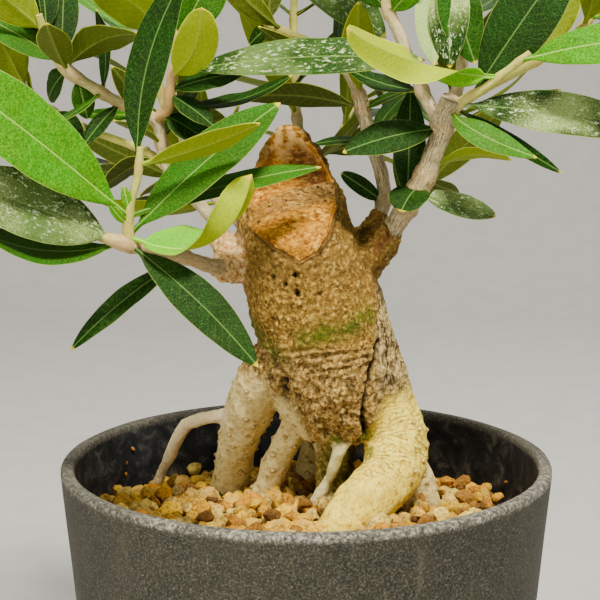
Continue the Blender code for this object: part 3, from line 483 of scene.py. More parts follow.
def rule_leaves(shoot, crowd, draw):
    """Pairs of leaves along the twigs, each pair a quarter turn on from the last."""
    made = []
    for rule in shoot["rules"]:
        path = shoot["twigs"][rule.twig]
        for pair in range(rule.pairs):
            at = rule.first + (rule.last - rule.first) * pair / max(1, rule.pairs - 1)
            base, way = place_on(path, at)
            for half in range(2):
                for _ in range(RULE_TRIES):
                    turn = math.pi * half + math.pi / 2 * pair + draw.uniform(-0.5, 0.5)
                    blade = rule_leaf(rule, at, way, turn, draw)
                    guard = leaf_guard(blade, base)
                    if not in_open_air(blade, base) and not crowd.touches(*guard):
                        crowd.add(*guard)
                        made.append(blade)
                        break
    return made


def frames_along(points):
    """For each point of a path, its direction and two directions across it, carried without twist."""
    count = len(points)
    ways = []
    for k in range(count):
        ways.append((points[min(k + 1, count - 1)] - points[max(k - 1, 0)]).normalized())
    across = ways[0].orthogonal().normalized()
    frames = []
    for way in ways:
        across = (across - way * across.dot(way)).normalized()
        frames.append((way, across, way.cross(across)))
    return frames


def tube(path, sides, grow=0.0):
    """A closed tube along points of (x, y, z, radius), its corners on the radius plus `grow`."""
    centres = [Vector(p[:3]) for p in path]
    points = []
    for centre, (_, one, two), station in zip(centres, frames_along(centres), path):
        radius = station[3] + grow
        for step in range(sides):
            turn = math.tau * step / sides
            points.append(centre + one * (radius * math.cos(turn)) + two * (radius * math.sin(turn)))
    ends = [tuple(range(sides)), tuple(range(len(points) - sides, len(points)))]
    return points, ring_faces(len(path), sides) + ends


def stump_stack():
    """The stump's body as a stack of level oval rings."""
    sides = STACK_SIDES
    points = []
    for x, y, z, half_width, half_depth in STUMP_RINGS:
        for step in range(sides):
            turn = math.tau * step / sides
            points.append(Vector((x + half_width * math.cos(turn), y + half_depth * math.sin(turn), z)))
    ends = [tuple(range(sides)), tuple(range(len(points) - sides, len(points)))]
    return points, ends + ring_faces(len(STUMP_RINGS), sides)


def plant_layout():
    """All leaves of every shoot: the listed ones first, then the ones that rules place."""
    crowd = Crowd()
    crowd.add(*stump_stack())
    for path in LIMBS.values():
        crowd.add(*tube(path, LIMB_SIDES))
    for shoot in SHOOTS.values():
        for path in shoot["twigs"]:
            crowd.add(*tube(path, TWIG_SIDES, TWIG_GUARD))
        for blade in shoot["leaves"]:
            base, _ = place_on(shoot["twigs"][blade.twig], blade.at)
            crowd.add(*leaf_guard(blade, base))
    draw = random.Random(SEED)
    layout = {}
    for name, shoot in SHOOTS.items():
        layout[name] = list(shoot["leaves"]) + rule_leaves(shoot, crowd, draw)
    return layout


def pot_radius(z):
    """Outer radius of the pot's wall at a height."""
    return POT_RADIUS - (POT_HEIGHT - z) * POT_TAPER


def pot_inside(z):
    """Inner radius of the pot's wall at a height."""
    return pot_radius(z) - POT_WALL


def soil_height(x, y):
    """Height of the gravel, a low mound round the roots that falls away behind them."""
    share = min(1.0, math.hypot(x, y) / POT_RADIUS)
    return SOIL_EDGE + SOIL_MOUND * (1 - share * share) - SOIL_SLOPE * max(0.0, y)


def saw_block():
    """The wood that the saw took: everything in front of and above the saw line."""
    half = SAW_REACH
    outline = [*SAW_LINE, (-half, SAW_LINE[-1][1]), (-half, SAW_TOP), (SAW_LINE[0][0], SAW_TOP)]
    count = len(outline)
    points = [(-half, y, z) for y, z in outline] + [(half, y, z) for y, z in outline]
    ends = [tuple(range(count)), tuple(range(count, 2 * count))]
    return points, ends + ring_faces(2, count)


def bark_push(point):
    """How far bark lumps lift the surface at a point, in millimetres."""
    lumps = noise.noise(Vector((point.x, point.y, point.z * 0.8)) / BARK_LUMP)
    ribs = noise.noise(Vector((point.x * 1.6, point.y * 1.6, point.z * 0.35)) / BARK_LUMP)
    return BARK_RELIEF * (lumps + 0.6 * ribs)


class Skin:
    """Points, faces and looks of one piece while it is put together."""

    def __init__(self):
        self.points = []
        self.faces = []
        self.looks = []
        self.places = []
        self.marks = []

    def add(self, points, faces, look, places, marks):
        first = len(self.points)
        self.points += points
        self.faces += [tuple(first + corner for corner in face) for face in faces]
        self.looks += [look] * len(faces) if isinstance(look, int) else look
        self.places += places
        self.marks += marks

    def build(self, name, materials, sharp=50):
        """One mesh object, with `place` and `marks` kept on its points for the materials."""
        mesh = bpy.data.meshes.new(name)
        mesh.from_pydata([Vector(p) * MM for p in self.points], [], self.faces)
        mesh.polygons.foreach_set("material_index", self.looks)
        for made in materials:
            mesh.materials.append(made)
        place = mesh.attributes.new("place", "FLOAT_VECTOR", "POINT")
        place.data.foreach_set("vector", np.array(self.places, float).ravel())
        marks = mesh.attributes.new("marks", "FLOAT_COLOR", "POINT")
        marks.data.foreach_set("color", np.array(self.marks, float).ravel())
        mesh.shade_smooth()
        mesh.set_sharp_from_angle(angle=math.radians(sharp))
        made = bpy.data.objects.new(name, mesh)
        bpy.context.scene.collection.objects.link(made)
        return made


def smoothstep(low, high, value):
    """0 below `low`, 1 above `high`, and soft between. `low` may be the larger one."""
    share = min(1.0, max(0.0, (value - low) / (high - low)))
    return share * share * (3 - 2 * share)


def smooth_path(path, step):
    """Points on a soft curve through a twig's points, with its radius as the fourth number."""
    rows = [Vector(p) for p in path]
    last = len(rows) - 1
    made = []
    for k in range(last):
        before = rows[max(k - 1, 0)]
        start = rows[k]
        end = rows[k + 1]
        after = rows[min(k + 2, last)]
        count = max(2, math.ceil((end - start).length / step))
        for part in range(count):
            t = part / count
            slope = (end - before) * (0.5 * t)
            bow = (before * 2 - start * 5 + end * 4 - after) * (0.5 * t * t)
            turn = (start * 3 - before - end * 3 + after) * (0.5 * t ** 3)
            made.append(start + slope + bow + turn)
    made.append(rows[last])
    return made


def add_twig(skin, path, look, orange, knots, draw):
    """A twig as a fine tube with swollen knots, cracked bark places and a cut end."""
    rows = smooth_path(path, 0.9)
    centres = [Vector(row[:3]) for row in rows]
    sides = 10 if max(row[3] for row in rows) < 1.8 else 20
    points, places, marks = [], [], []
    along = draw.uniform(0, 500)
    for k, (centre, (_, one, two)) in enumerate(zip(centres, frames_along(centres))):
        if k:
            along += (centre - centres[k - 1]).length
        radius = rows[k][3]
        swell = sum(math.exp(-((centre - knot).length / 1.6) ** 2) for knot in knots)
        radius *= 1 + 0.22 * min(1.0, swell) + 0.06 * noise.noise(Vector((along * 0.35, 0, 3)))
        age = smoothstep(1.0, 2.3, rows[k][3])
        for side in range(sides):
            turn = math.tau * side / sides
            lump = 1 + 0.07 * noise.noise(Vector((math.cos(turn) * 1.5, math.sin(turn) * 1.5, along * 0.5)))
            reach = radius * lump
            points.append(centre + one * (reach * math.cos(turn)) + two * (reach * math.sin(turn)))
            places.append((radius * math.cos(turn), radius * math.sin(turn), along))
            marks.append((age, orange, 0.0, min(1.0, swell)))
    faces = ring_faces(len(rows), sides)
    last = len(points) - sides
    points.append(centres[-1] + (centres[-1] - centres[-2]).normalized() * 0.35)
    places.append((0, 0, along))
    marks.append((0.5, orange, 1.0, 0.0))
    faces += [(last + side, last + (side + 1) % sides, len(points) - 1) for side in range(sides)]
    faces.append(tuple(reversed(range(sides))))
    skin.add(points, faces, look, places, marks)


def leaf_across(half):
    """Places across a leaf from -1 to 1: closer at the midrib and at the edges."""
    near = min(0.12, 0.35 / half)
    far = min(0.3, 0.95 / half)
    ups = [near, far, 0.34 + far / 3, 0.66, 0.86, 0.965, 1.0]
    return [-v for v in reversed(ups)] + [0.0] + ups


def add_leaf(skin, blade, base, draw, youth, spots, fine):
    """A thin leaf with a grooved midrib, a raised rib below, wavy sides and a pointed tip."""
    count = 26 if fine else 16
    shares = [PETIOLE_PART * 0.5 * k for k in range(2)]
    shares += [PETIOLE_PART + (1 - PETIOLE_PART) * (k / (count - 1)) ** 1.05 for k in range(count)]
    across = leaf_across(blade.width / 2)
    if not fine:
        across = across[::2]
    size = len(across)
    loop = [(v, 1) for v in across] + [(v, -1) for v in across[-2:0:-1]]
    seed = draw.uniform(0, 900)
    points, places, marks = [], [], []
    for share in shares:
        centre, way, face, sideways = leaf_curve(blade, base, share)
        half = leaf_half_width(blade, share)
        flat = smoothstep(0.04, 0.16, share)
        if share > 0.985:
            half *= max(0.12, (1.0 - share) / 0.015)
        thick = 0.7 * (1 - flat) + 0.2 * flat
        for v, side in loop:
            edge = abs(v)
            rounding = (1 - edge ** (2 + 10 * flat)) ** 0.5 if edge < 1 else 0.0
            wave = noise.noise(Vector((share * 4.2, v * 0.7, seed)))
            ripple = noise.noise(Vector((share * 11.0, v * 1.4, seed + 50)))
            cup = blade.cup * half * (edge ** 1.3 - 0.35 * edge ** 5)
            cup += half * edge * (0.13 * wave + 0.035 * ripple) * flat
            rib = math.exp(-(v * half / 0.42) ** 2) * flat * (1 - 0.8 * share)
            height = cup + side * thick * rounding - (0.16 if side > 0 else 0.42) * rib
            points.append(centre + sideways * (half * v) + face * height)
            places.append((v * half, share * blade.length, seed))
            marks.append((share, edge, youth, spots))
    ring = len(loop)
    faces = ring_faces(len(shares), ring)
    looks = [int(k % ring >= size - 1) for k in range(len(faces))]
    faces.append(tuple(reversed(range(ring))))
    faces.append(tuple(range(len(points) - ring, len(points))))
    looks += [1, 1]
    skin.add(points, faces, looks, places, marks)


def make_shoot(name, shoot, blades, materials):
    """One leafy shoot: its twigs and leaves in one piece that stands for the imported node."""
    draw = random.Random(SEED + len(blades))
    skin = Skin()
    knots = {}
    for blade in blades:
        base, _ = place_on(shoot["twigs"][blade.twig], blade.at)
        knots.setdefault(blade.twig, []).append(base)
    for number, path in enumerate(shoot["twigs"]):
        orange = ORANGE.get(name, {}).get(number, 0.0)
        add_twig(skin, path, 2, orange, knots.get(number, []), draw)
    for number, blade in enumerate(blades):
        base, _ = place_on(shoot["twigs"][blade.twig], blade.at)
        by_hand = number < len(shoot["leaves"])
        youth = YOUTH.get(name, {}).get(number, 0.05 if by_hand else draw.choice((0.0, 0.1, 0.2, 0.5)))
        # Share of specks and dust, which from 0.45 also brings painted glare
        spots = SPECKS_DUST_AND_GLARE.get(name, {}).get(number, draw.uniform(0.05, 0.3))
        add_leaf(skin, blade, base, draw, youth, spots, by_hand or not name.startswith("back"))
    made = skin.build(name + "_fine", materials)
    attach(made, "root")
    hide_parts(name)


class Field:
    """A value or colour that differs over a surface: the output of one of a material's nodes."""

    def __init__(self, paint, socket):
        self.paint = paint
        self.socket = socket

    def __add__(self, other):
        return self.paint.math("ADD", self, other)

    def __sub__(self, other):
        return self.paint.math("SUBTRACT", self, other)

    def __rsub__(self, other):
        return self.paint.math("SUBTRACT", other, self)

    def __mul__(self, other):
        return self.paint.math("MULTIPLY", self, other)

    def __abs__(self):
        return self.paint.math("ABSOLUTE", self)

    def sine(self):
        return self.paint.math("SINE", self)

    def axes(self):
        return self.paint.parts("SeparateXYZ", self)

    def stretched(self, scale):
        return self.paint.node("Mapping", {"Vector": self, "Scale": scale})

    def noise(self, scale, detail=3.0, rough=0.55, bend=0.0):
        settings = {"Vector": self, "Scale": scale, "Detail": detail, "Roughness": rough,
                    "Distortion": bend}
        return self.paint.node("TexNoise", settings)

    def cells(self, scale):
        """How far the middle of the nearest seeded cell is."""
        return self.paint.node("TexVoronoi", {"Vector": self, "Scale": scale})

    def warts(self, scale, share, reach):
        """Round bumps in `share` of seeded cells, each `reach` of a cell wide."""
        near = self.cells(scale)
        lucky = self.paint.parts("SeparateColor", near.socket.node.outputs["Color"])[0]
        return near.ease(reach, reach * 0.3) * lucky.ease(share, share - 0.03)

    def ease(self, low, high, start=0.0, end=1.0):
        """A soft step of a value, from `start` at `low` to `end` at `high`."""
        settings = {"Value": self, "From Min": low, "From Max": high, "To Min": start, "To Max": end}
        return self.paint.node("MapRange", settings, interpolation_type="SMOOTHSTEP")

    def mix(self, share, other, way="MIX"):
        return self.paint.blend(share, self, other, way)

    def ramp(self, *stops):
        """A colour for a value, from (place, colour) stops."""
        made = self.paint.node("ValToRGB", {"Fac": self})
        band = made.socket.node.color_ramp.elements
        while len(band) < len(stops):
            band.new(0.5)
        for element, (place, colour) in zip(band, stops):
            element.position = place
            element.color = (*colour, 1.0)
        return made


class Paint:
    """A node material, built in few words."""

    def __init__(self, name):
        self.material = bpy.data.materials.new(name)
        self.material.use_nodes = True
        self.tree = self.material.node_tree

    def node(self, kind, inputs, **settings):
        """A new node with its inputs set by name or number, and its first output."""
        made = self.tree.nodes.new("ShaderNode" + kind)
        for key, value in settings.items():
            setattr(made, key, value)
        for key, value in inputs.items():
            self.join(value, made.inputs[key])
        return Field(self, made.outputs[0])

    def join(self, value, socket):
        """A socket gets a link, a number or a colour."""
        value = getattr(value, "socket", value)
        if isinstance(value, bpy.types.NodeSocket):
            self.tree.links.new(value, socket)
        elif socket.type == "RGBA":
            socket.default_value = (*value, 1.0)
        else:
            socket.default_value = value

    def parts(self, kind, value):
        """The three parts of a colour or a vector."""
        made = self.node(kind, {0: value}).socket.node
        return [Field(self, output) for output in made.outputs]

    def millimetres(self):
        """Object coordinates in millimetres."""
        place = self.node("TexCoord", {}).socket.node.outputs["Object"]
        return Field(self, place).stretched((1 / MM, 1 / MM, 1 / MM))

    def place(self):
        """The place on a leaf or a twig that the mesh code stored, in millimetres."""
        return Field(self, self.node("Attribute", {}, attribute_name="place").socket.node.outputs["Vector"])

    def masks(self, name):
        """The four numbers of a point attribute."""
        made = self.node("Attribute", {}, attribute_name=name).socket.node
        return *self.parts("SeparateColor", made.outputs["Color"]), Field(self, made.outputs["Alpha"])

    def math(self, operation, one, two=0.0, clamp=False):
        return self.node("Math", {0: one, 1: two}, operation=operation, use_clamp=clamp)

    def blend(self, share, one, two, way="MIX"):
        made = self.node("Mix", {}, data_type="RGBA", blend_type=way).socket.node
        for number, value in ((0, share), (6, one), (7, two)):
            self.join(value, made.inputs[number])
        return Field(self, made.outputs[2])

    def finish(self, colour, rough, height, depth, gloss):
        """Colour, roughness and a bump whose `depth` is in millimetres."""
        bump = self.node("Bump", {"Distance": depth * MM, "Strength": 1.0, "Height": height})
        shader = self.tree.nodes["Principled BSDF"]
        for key, value in (("Base Color", colour), ("Roughness", rough), ("Normal", bump)):
            self.join(value, shader.inputs[key])
        shader.inputs["Specular IOR Level"].default_value = gloss
        return self.material


def leaf_top():
    """Dark glossy green with fine pale dust, a thin pale midrib, a yellow tip and edge, and pale patches of
    painted glare on leaves with a high share of specks.
    """
    p = Paint("leaf_top")
    place = p.place()
    share, edge, youth, spots = p.masks("marks")
    across, along, _ = place.axes()
    off = abs(across)
    fine = place.noise(1.7, 5, 0.8)
    broad = place.noise(0.1, 2)
    old = fine.ramp((0.34, (0.001, 0.006, 0.0)), (0.5, (0.005, 0.022, 0.001)), (0.68, (0.026, 0.08, 0.004)))
    young = fine.ramp((0.34, (0.016, 0.095, 0.0)), (0.5, (0.05, 0.21, 0.0)), (0.68, (0.16, 0.38, 0.003)))
    lime = fine.ramp((0.34, (0.07, 0.3, 0.0)), (0.66, (0.22, 0.52, 0.001)))
    colour = old.mix(youth.ease(0.0, 0.75), young)
    colour = colour.mix(youth.ease(0.8, 1.0), lime)
    colour = colour.mix(broad.ease(0.38, 0.66, 0.0, 0.5), (0.35, 0.75, 0.15), "SOFT_LIGHT")
    slant = off * -0.8 + along
    wobble = place.noise(0.35, 2) * 3.0
    vein = ((slant + wobble) * 2.3).sine().ease(0.86, 1.0)
    colour = colour.mix(vein * 0.07, (0.16, 0.28, 0.06))
    midrib = off.ease(0.3, 0.08)
    rib_colour = p.blend(youth, (0.1, 0.21, 0.045), (0.5, 0.68, 0.12))
    colour = colour.mix(midrib * 0.7, rib_colour)
    colour = colour.mix(edge.ease(0.965, 0.99, 0.0, 0.6), (0.3, 0.4, 0.07))
    colour = colour.mix(share.ease(0.965, 0.985), (0.6, 0.5, 0.03))
    grains = place.noise(2.9, 3, 0.75).ease(0.57, 0.7)
    flecks = place.stretched((1.0, 0.45, 1.0)).noise(1.15, 4, 0.7).ease(0.56, 0.62)
    patch = place.noise(0.2, 3).ease(0.34, 0.6)
    dust = grains * patch * spots.ease(0.0, 0.5, 0.15, 1.0)
    inner = edge.ease(0.95, 0.75)
    white = flecks * inner * spots.ease(0.55, 1.0)
    # Painted glare: pale patches on top that stand for the light's shine, faint from a share of 0.45 and
    # strong over 1
    painted_glare_patches = place.noise(0.07, 1).ease(0.42, 0.62) * spots.ease(0.45, 1.0, 0.0, 0.3)
    painted_glare = place.noise(0.055, 1) + (fine - 0.5) * 0.35
    painted_glare = painted_glare.ease(0.4, 0.62) * spots.ease(1.0, 2.0, 0.0, 0.9)
    colour = colour.mix(painted_glare_patches, (0.22, 0.36, 0.09))
    colour = colour.mix(dust * 0.5, (0.22, 0.36, 0.14))
    colour = colour.mix(white * 0.75, (0.6, 0.7, 0.42))
    colour = colour.mix(painted_glare, fine.ramp((0.36, (0.16, 0.33, 0.05)), (0.62, (0.56, 0.66, 0.26))))
    rough = fine * 0.25 + 0.32
    rough = rough + (dust + white) * 0.25
    height = fine + vein * -0.2
    return p.finish(colour, rough, height, 0.22, 0.08)


def leaf_under():
    """Matt olive darkened to a brownish olive as painted shade, with a lighter rib, or lemon green on a
    young leaf.
    """
    p = Paint("leaf_under")
    place = p.place()
    share, edge, youth, spots = p.masks("marks")
    across, along, _ = place.axes()
    off = abs(across)
    fine = place.noise(1.6, 4, 0.65)
    # Old undersides: olive darkened to its brownish look in shade, as painted shade
    old = fine.ramp((0.3, (0.028, 0.043, 0.006)), (0.7, (0.074, 0.102, 0.019)))
    young = fine.ramp((0.3, (0.22, 0.33, 0.0)), (0.7, (0.38, 0.46, 0.0)))
    colour = old.mix(youth, young)
    sage = fine.ramp((0.3, (0.24, 0.38, 0.11)), (0.7, (0.4, 0.54, 0.2)))
    colour = colour.mix(spots.ease(1.0, 2.0), sage)
    slant = off * -0.8 + along
    vein = (slant * 2.3).sine().ease(0.8, 1.0)
    colour = colour.mix(vein * 0.08, (0.4, 0.46, 0.12))
    colour = colour.mix(off.ease(0.5, 0.2, 0.0, 0.35), (0.3, 0.36, 0.06))
    colour = colour.mix(edge.ease(0.93, 0.99, 0.0, 0.6), (0.62, 0.72, 0.05))
    colour = colour.mix(share.ease(0.965, 0.985), (0.6, 0.5, 0.03))
    rough = fine * 0.2 + 0.48
    return p.finish(colour, rough, fine, 0.12, 0.06)


def twig_bark():
    """Yellow-green on thin young twigs, pale beige with long fine cracks on the thickest."""
    p = Paint("twig_bark")
    place = p.place()
    age, orange, tip, knot = p.masks("marks")
    fine = place.stretched((1.0, 1.0, 0.3)).noise(1.6, 5, 0.7)
    line = place.stretched((1.0, 1.0, 0.1)).noise(1.5, 3, 0.55)
    crack = abs(line - 0.5).ease(0.02, 0.003)
    crack = crack * age.ease(0.7, 1.0)
    crack = crack * orange.ease(0.5, 0.0)
    young = fine.ramp((0.3, (0.34, 0.36, 0.045)), (0.7, (0.66, 0.62, 0.16)))
    old = fine.ramp((0.3, (0.22, 0.165, 0.075)), (0.48, (0.44, 0.36, 0.19)), (0.72, (0.66, 0.57, 0.33)))
    tan = fine.ramp((0.3, (0.4, 0.21, 0.07)), (0.7, (0.72, 0.48, 0.2)))
    colour = young.mix(age.ease(0.1, 0.75), old)
    colour = colour.mix(orange, tan)
    colour = colour.mix(knot * 0.35, (0.46, 0.28, 0.08))
    colour = colour.mix(crack * 0.85, (0.06, 0.035, 0.018))
    colour = colour.mix(tip, (0.2, 0.15, 0.09))
    height = fine * 0.6 - crack
    rough = fine * 0.25 + 0.55
    return p.finish(colour, rough, height, 0.3, 0.12)


def pot_rubber():
    """Speckled dark rubber: worn pale and mottled on the rim, more so at the front as a painted highlight,
    dusty inside, streaked outside.
    """
    p = Paint("pot_rubber_fine")
    place = p.millimetres()
    x, y, z = place.axes()
    radius = p.math("SQRT", x * x + y * y)
    speck = place.noise(1.5, 4, 0.8)
    fleck = place.noise(1.05, 4, 0.8).ease(0.575, 0.66)
    broad = place.noise(0.05, 4, 0.6)
    streak = place.stretched((1.0, 1.0, 0.1)).noise(0.3, 4, 0.6)
    colour = speck.ramp((0.32, (0.006, 0.006, 0.004)), (0.5, (0.024, 0.024, 0.017)),
                        (0.68, (0.115, 0.11, 0.076)))
    colour = colour.mix(broad.ease(0.4, 0.7, 0.0, 0.5), (0.045, 0.043, 0.03), "LIGHTEN")
    colour = colour.mix(streak.ease(0.56, 0.75, 0.0, 0.25), (0.15, 0.13, 0.085))
    colour = colour.mix(fleck * 0.45, (0.26, 0.24, 0.17))
    upright = radius + (POT_HEIGHT - z) * POT_TAPER
    inside = upright.ease(73.6, 72.6) * z.ease(124.2, 122.5)
    inside = inside * z.ease(2.5, 4.5)
    smear = place.noise(0.16, 5, 0.7, 0.6)
    dusty = smear.ramp((0.36, (0.004, 0.005, 0.006)), (0.54, (0.016, 0.018, 0.02)),
                       (0.7, (0.075, 0.078, 0.075)))
    earth = z.ease(114, 105) * smear.ease(0.45, 0.7, 0.0, 0.5)
    dusty = dusty.mix(earth, (0.14, 0.1, 0.06))
    colour = colour.mix(inside, dusty)
    lip = (z + place.noise(0.5, 3) * 1.6).ease(122.9, 124.4)
    worn = place.noise(0.9, 5, 0.8).ramp((0.36, (0.02, 0.02, 0.018)), (0.5, (0.12, 0.115, 0.095)),
                                         (0.66, (0.5, 0.48, 0.38)))
    # The pale worn rim is real wear, made stronger towards the front as a painted highlight
    front = y.ease(25, -35, 0.25, 1.0)
    patches = place.noise(0.035, 2).ease(0.35, 0.6, 0.5, 1.0)
    colour = colour.mix(lip * (front * patches), worn)
    rough = speck * 0.3 + 0.45
    height = speck + smear * 0.5
    return p.finish(colour, rough, height, 0.28, 0.18)


def gravel_stone():
    """Dry porous stone, each one orange, golden, tan, cream or brown by its own tone."""
    p = Paint("gravel_stone")
    place = p.millimetres()
    tone = p.masks("marks")[0]
    grain = place.noise(1.0, 6, 0.75)
    tint = place.noise(0.35, 2)
    mixed = p.math("ADD", tone, (tint - 0.5) * 0.3, True)
    colour = mixed.ramp((0.0, (0.1, 0.045, 0.01)), (0.13, (0.3, 0.14, 0.022)), (0.28, (0.62, 0.28, 0.01)),
                        (0.45, (0.5, 0.305, 0.036)), (0.6, (0.84, 0.49, 0.014)), (0.76, (0.62, 0.4, 0.09)),
                        (0.9, (0.86, 0.67, 0.14)), (1.0, (0.34, 0.22, 0.06)))
    colour = colour.mix(grain.ease(0.52, 0.36, 0.0, 0.75), (0.075, 0.036, 0.012))
    colour = colour.mix(grain.ease(0.57, 0.72, 0.0, 0.5), (0.95, 0.74, 0.32))
    pits = place.cells(0.9).ease(0.26, 0.12)
    height = grain - pits * 0.4
    return p.finish(colour, 0.88, height, 0.75, 0.15)


def bed_earth():
    """A dark bed that shows in the gaps between the stones."""
    p = Paint("bed_earth")
    place = p.millimetres()
    grain = place.noise(0.7, 5, 0.7)
    colour = grain.ramp((0.3, (0.02, 0.012, 0.006)), (0.55, (0.07, 0.038, 0.015)),
                        (0.75, (0.2, 0.11, 0.04)))
    return p.finish(colour, 0.92, grain, 0.8, 0.2)


def stump_bark():
    """Bark, sawn wood, moss and pale roots, shared out by the masks that the mesh code made, with painted
    shade in the cracks, holes and hollows, under the sawn rim and on the sawn hollow's wall.
    """
    p = Paint("stump_bark")
    place = p.millimetres()
    x, y, z = place.axes()
    cut, moss, cream, dark = p.masks("marks")
    pale, low, strip, collar = p.masks("more")
    inside, shelf, wall, seam = p.masks("sawn")
    pink, sage, foot, run = p.masks("tints")
    fine = place.noise(0.85, 7, 0.74)
    mid = place.noise(0.22, 4, 0.65)
    pimples, nodules, *_ = p.masks("bumps")
    bark = fine.ramp((0.36, (0.034, 0.014, 0.002)), (0.44, (0.18, 0.09, 0.012)), (0.53, (0.36, 0.21, 0.03)),
                     (0.66, (0.94, 0.68, 0.16)))
    bark = bark.mix(z.ease(174, 184, 0.0, 0.35), p.blend(fine, (0.05, 0.022, 0.004), (0.34, 0.19, 0.05)))
    bark = bark.mix(mid.ease(0.42, 0.66, 0.0, 0.3), (0.38, 0.22, 0.035))
    rugged = fine.ramp((0.37, (0.036, 0.015, 0.003)), (0.45, (0.22, 0.12, 0.026)),
                       (0.55, (0.52, 0.34, 0.09)), (0.66, (0.95, 0.74, 0.25)))
    colour = bark.mix(low, rugged)
    colour = colour.mix(pimples.ease(0.25, 0.9) * 0.7, (0.92, 0.66, 0.2))
    thread = place.stretched((0.8, 0.8, 1.5)).noise(0.42, 6, 0.65)
    thread = abs(thread - 0.5).ease(0.022, 0.002)
    colour = colour.mix(thread * 0.4, (0.06, 0.028, 0.006))
    wrinkle = place.stretched((0.7, 0.7, 1.2)).noise(0.9, 6, 0.75)
    root = wrinkle.ramp((0.34, (0.44, 0.31, 0.09)), (0.44, (0.76, 0.6, 0.22)), (0.58, (0.92, 0.79, 0.35)),
                        (0.72, (0.97, 0.88, 0.46)))
    colour = colour.mix(pale, root)
    grain = place.stretched((1.0, 1.0, 0.5)).noise(0.8, 6, 0.7)
    yellow = grain.ramp((0.34, (0.44, 0.26, 0.02)), (0.45, (0.82, 0.61, 0.06)), (0.56, (0.96, 0.8, 0.11)),
                        (0.72, (0.99, 0.9, 0.22)))
    colour = colour.mix(cream, yellow)
    ringed = nodules.ease(0.1, 0.35) * nodules.ease(0.75, 0.45)
    colour = colour.mix(ringed * 0.75, (0.34, 0.19, 0.05))
    colour = colour.mix(nodules.ease(0.55, 0.85) * 0.7, (0.92, 0.74, 0.36))
    turns = run * 430.0 + place.noise(0.22, 4, 0.6) * 22.0
    folds = turns.sine().ease(-0.5, -1.0) * foot * place.noise(0.3, 2).ease(0.42, 0.56)
    colour = colour.mix(folds * 0.55, (0.34, 0.2, 0.05))
    slit = place.stretched((1.0, 1.0, 0.14)).noise(0.42, 4, 0.6)
    slit = abs(slit - 0.5).ease(0.035, 0.006) * strip
    stripes = fine.ramp((0.36, (0.12, 0.07, 0.022)), (0.48, (0.46, 0.33, 0.12)), (0.66, (0.88, 0.72, 0.34)))
    colour = colour.mix(strip, stripes)
    colour = colour.mix(slit, (0.1, 0.055, 0.02))
    # The pink rootlet's own pale tan, brightened near white as painted light
    colour = colour.mix(pink * 0.7, fine.ramp((0.35, (0.86, 0.62, 0.33)), (0.6, (1.0, 0.9, 0.6))))
    colour = colour.mix(sage * 0.8, fine.ramp((0.35, (0.56, 0.52, 0.19)), (0.6, (0.92, 0.88, 0.46))))
    chips = fine.ramp((0.36, (0.24, 0.1, 0.016)), (0.46, (0.66, 0.37, 0.1)), (0.62, (0.98, 0.78, 0.4)))
    colour = colour.mix(collar, chips)
    colour = colour.mix(seam * 0.55, (0.22, 0.08, 0.026))
    tuft = place.noise(1.2, 5, 0.75)
    green = tuft.ramp((0.34, (0.02, 0.032, 0.002)), (0.52, (0.085, 0.115, 0.005)),
                      (0.7, (0.24, 0.28, 0.018)))
    patchy = moss * place.noise(0.55, 5, 0.7).ease(0.36, 0.56, 0.15, 1.0)
    colour = colour.mix(patchy, green)
    # Painted shade, near black: in the crack, the holes, the hollows of the relief, the groove by the cut
    # and a band under the sawn rim
    colour = colour.mix(dark, (0.016, 0.008, 0.004))
    fibre = place.stretched((0.6, 1.0, 1.0)).noise(0.8, 7, 0.75, 0.6)
    wood = fibre.ramp((0.36, (0.09, 0.026, 0.001)), (0.45, (0.28, 0.105, 0.004)),
                      (0.54, (0.52, 0.235, 0.012)), (0.66, (0.88, 0.55, 0.085)))
    wood = wood.mix(mid.ease(0.45, 0.62, 0.0, 0.4), (0.52, 0.21, 0.007))
    split = place.stretched((0.5, 0.5, 1.0)).noise(0.22, 5, 0.6)
    split = abs(split - 0.5).ease(0.016, 0.002)
    wood = wood.mix(split * 0.75, (0.07, 0.022, 0.002))
    torn = z.ease(212, 221, 0.0, 0.8) * place.noise(0.35, 4).ease(0.44, 0.58)
    wood = wood.mix(torn, (0.95, 0.62, 0.2))
    # Painted shade on the steep wall of the hollow in the sawn face
    shade = fibre.ramp((0.34, (0.03, 0.01, 0.002)), (0.5, (0.15, 0.06, 0.01)), (0.66, (0.46, 0.24, 0.055)))
    wood = wood.mix(wall, shade)
    mouldy = place.stretched((0.5, 1, 1)).noise(1.1, 6, 0.75)
    mould = mouldy.ramp((0.4, (0.03, 0.014, 0.003)), (0.5, (0.16, 0.09, 0.02)), (0.64, (0.48, 0.3, 0.08)))
    wood = wood.mix(shelf * x.ease(-12, 6, 0.6, 0.95), mould)
    pocked = shelf.ease(0.0, 0.5, 0.12, 1.0) * place.noise(0.5, 2).ease(0.46, 0.52)
    wood = wood.mix(place.warts(0.62, 0.55, 0.4) * pocked, (0.008, 0.004, 0.002))
    wander = inside + (place.noise(0.7, 3) - 0.5) * 0.1
    bast = fine.ramp((0.34, (0.12, 0.045, 0.006)), (0.64, (0.44, 0.21, 0.035)))
    rings = (wander * 62.0).sine().ease(0.0, 1.0)
    rings = rings * wander.ease(0.56, 0.4) * x.ease(0, 5, 0.25, 1.0)
    wood = wood.mix(rings * 0.55, (0.21, 0.078, 0.012))
    wood = wood.mix(wander.ease(0.34, 0.29), bast)
    line = abs(wander - 0.355).ease(0.04, 0.012)
    line = line * p.math("MAXIMUM", x.ease(-2, 2), z.ease(196, 192))
    wood = wood.mix(line * 0.85, (0.05, 0.02, 0.006))
    colour = colour.mix(cut, wood)
    bare = (1.0 - cut) * (1.0 - cream * 0.6)
    height = pimples * (bare * 0.9) + fine * (bare * 0.9 + 0.35) + wrinkle * (pale * 0.5)
    height = height - (folds * 0.5 + slit)
    rough = fine * 0.2 + 0.62
    return p.finish(colour, rough, height, 0.9, 0.14)
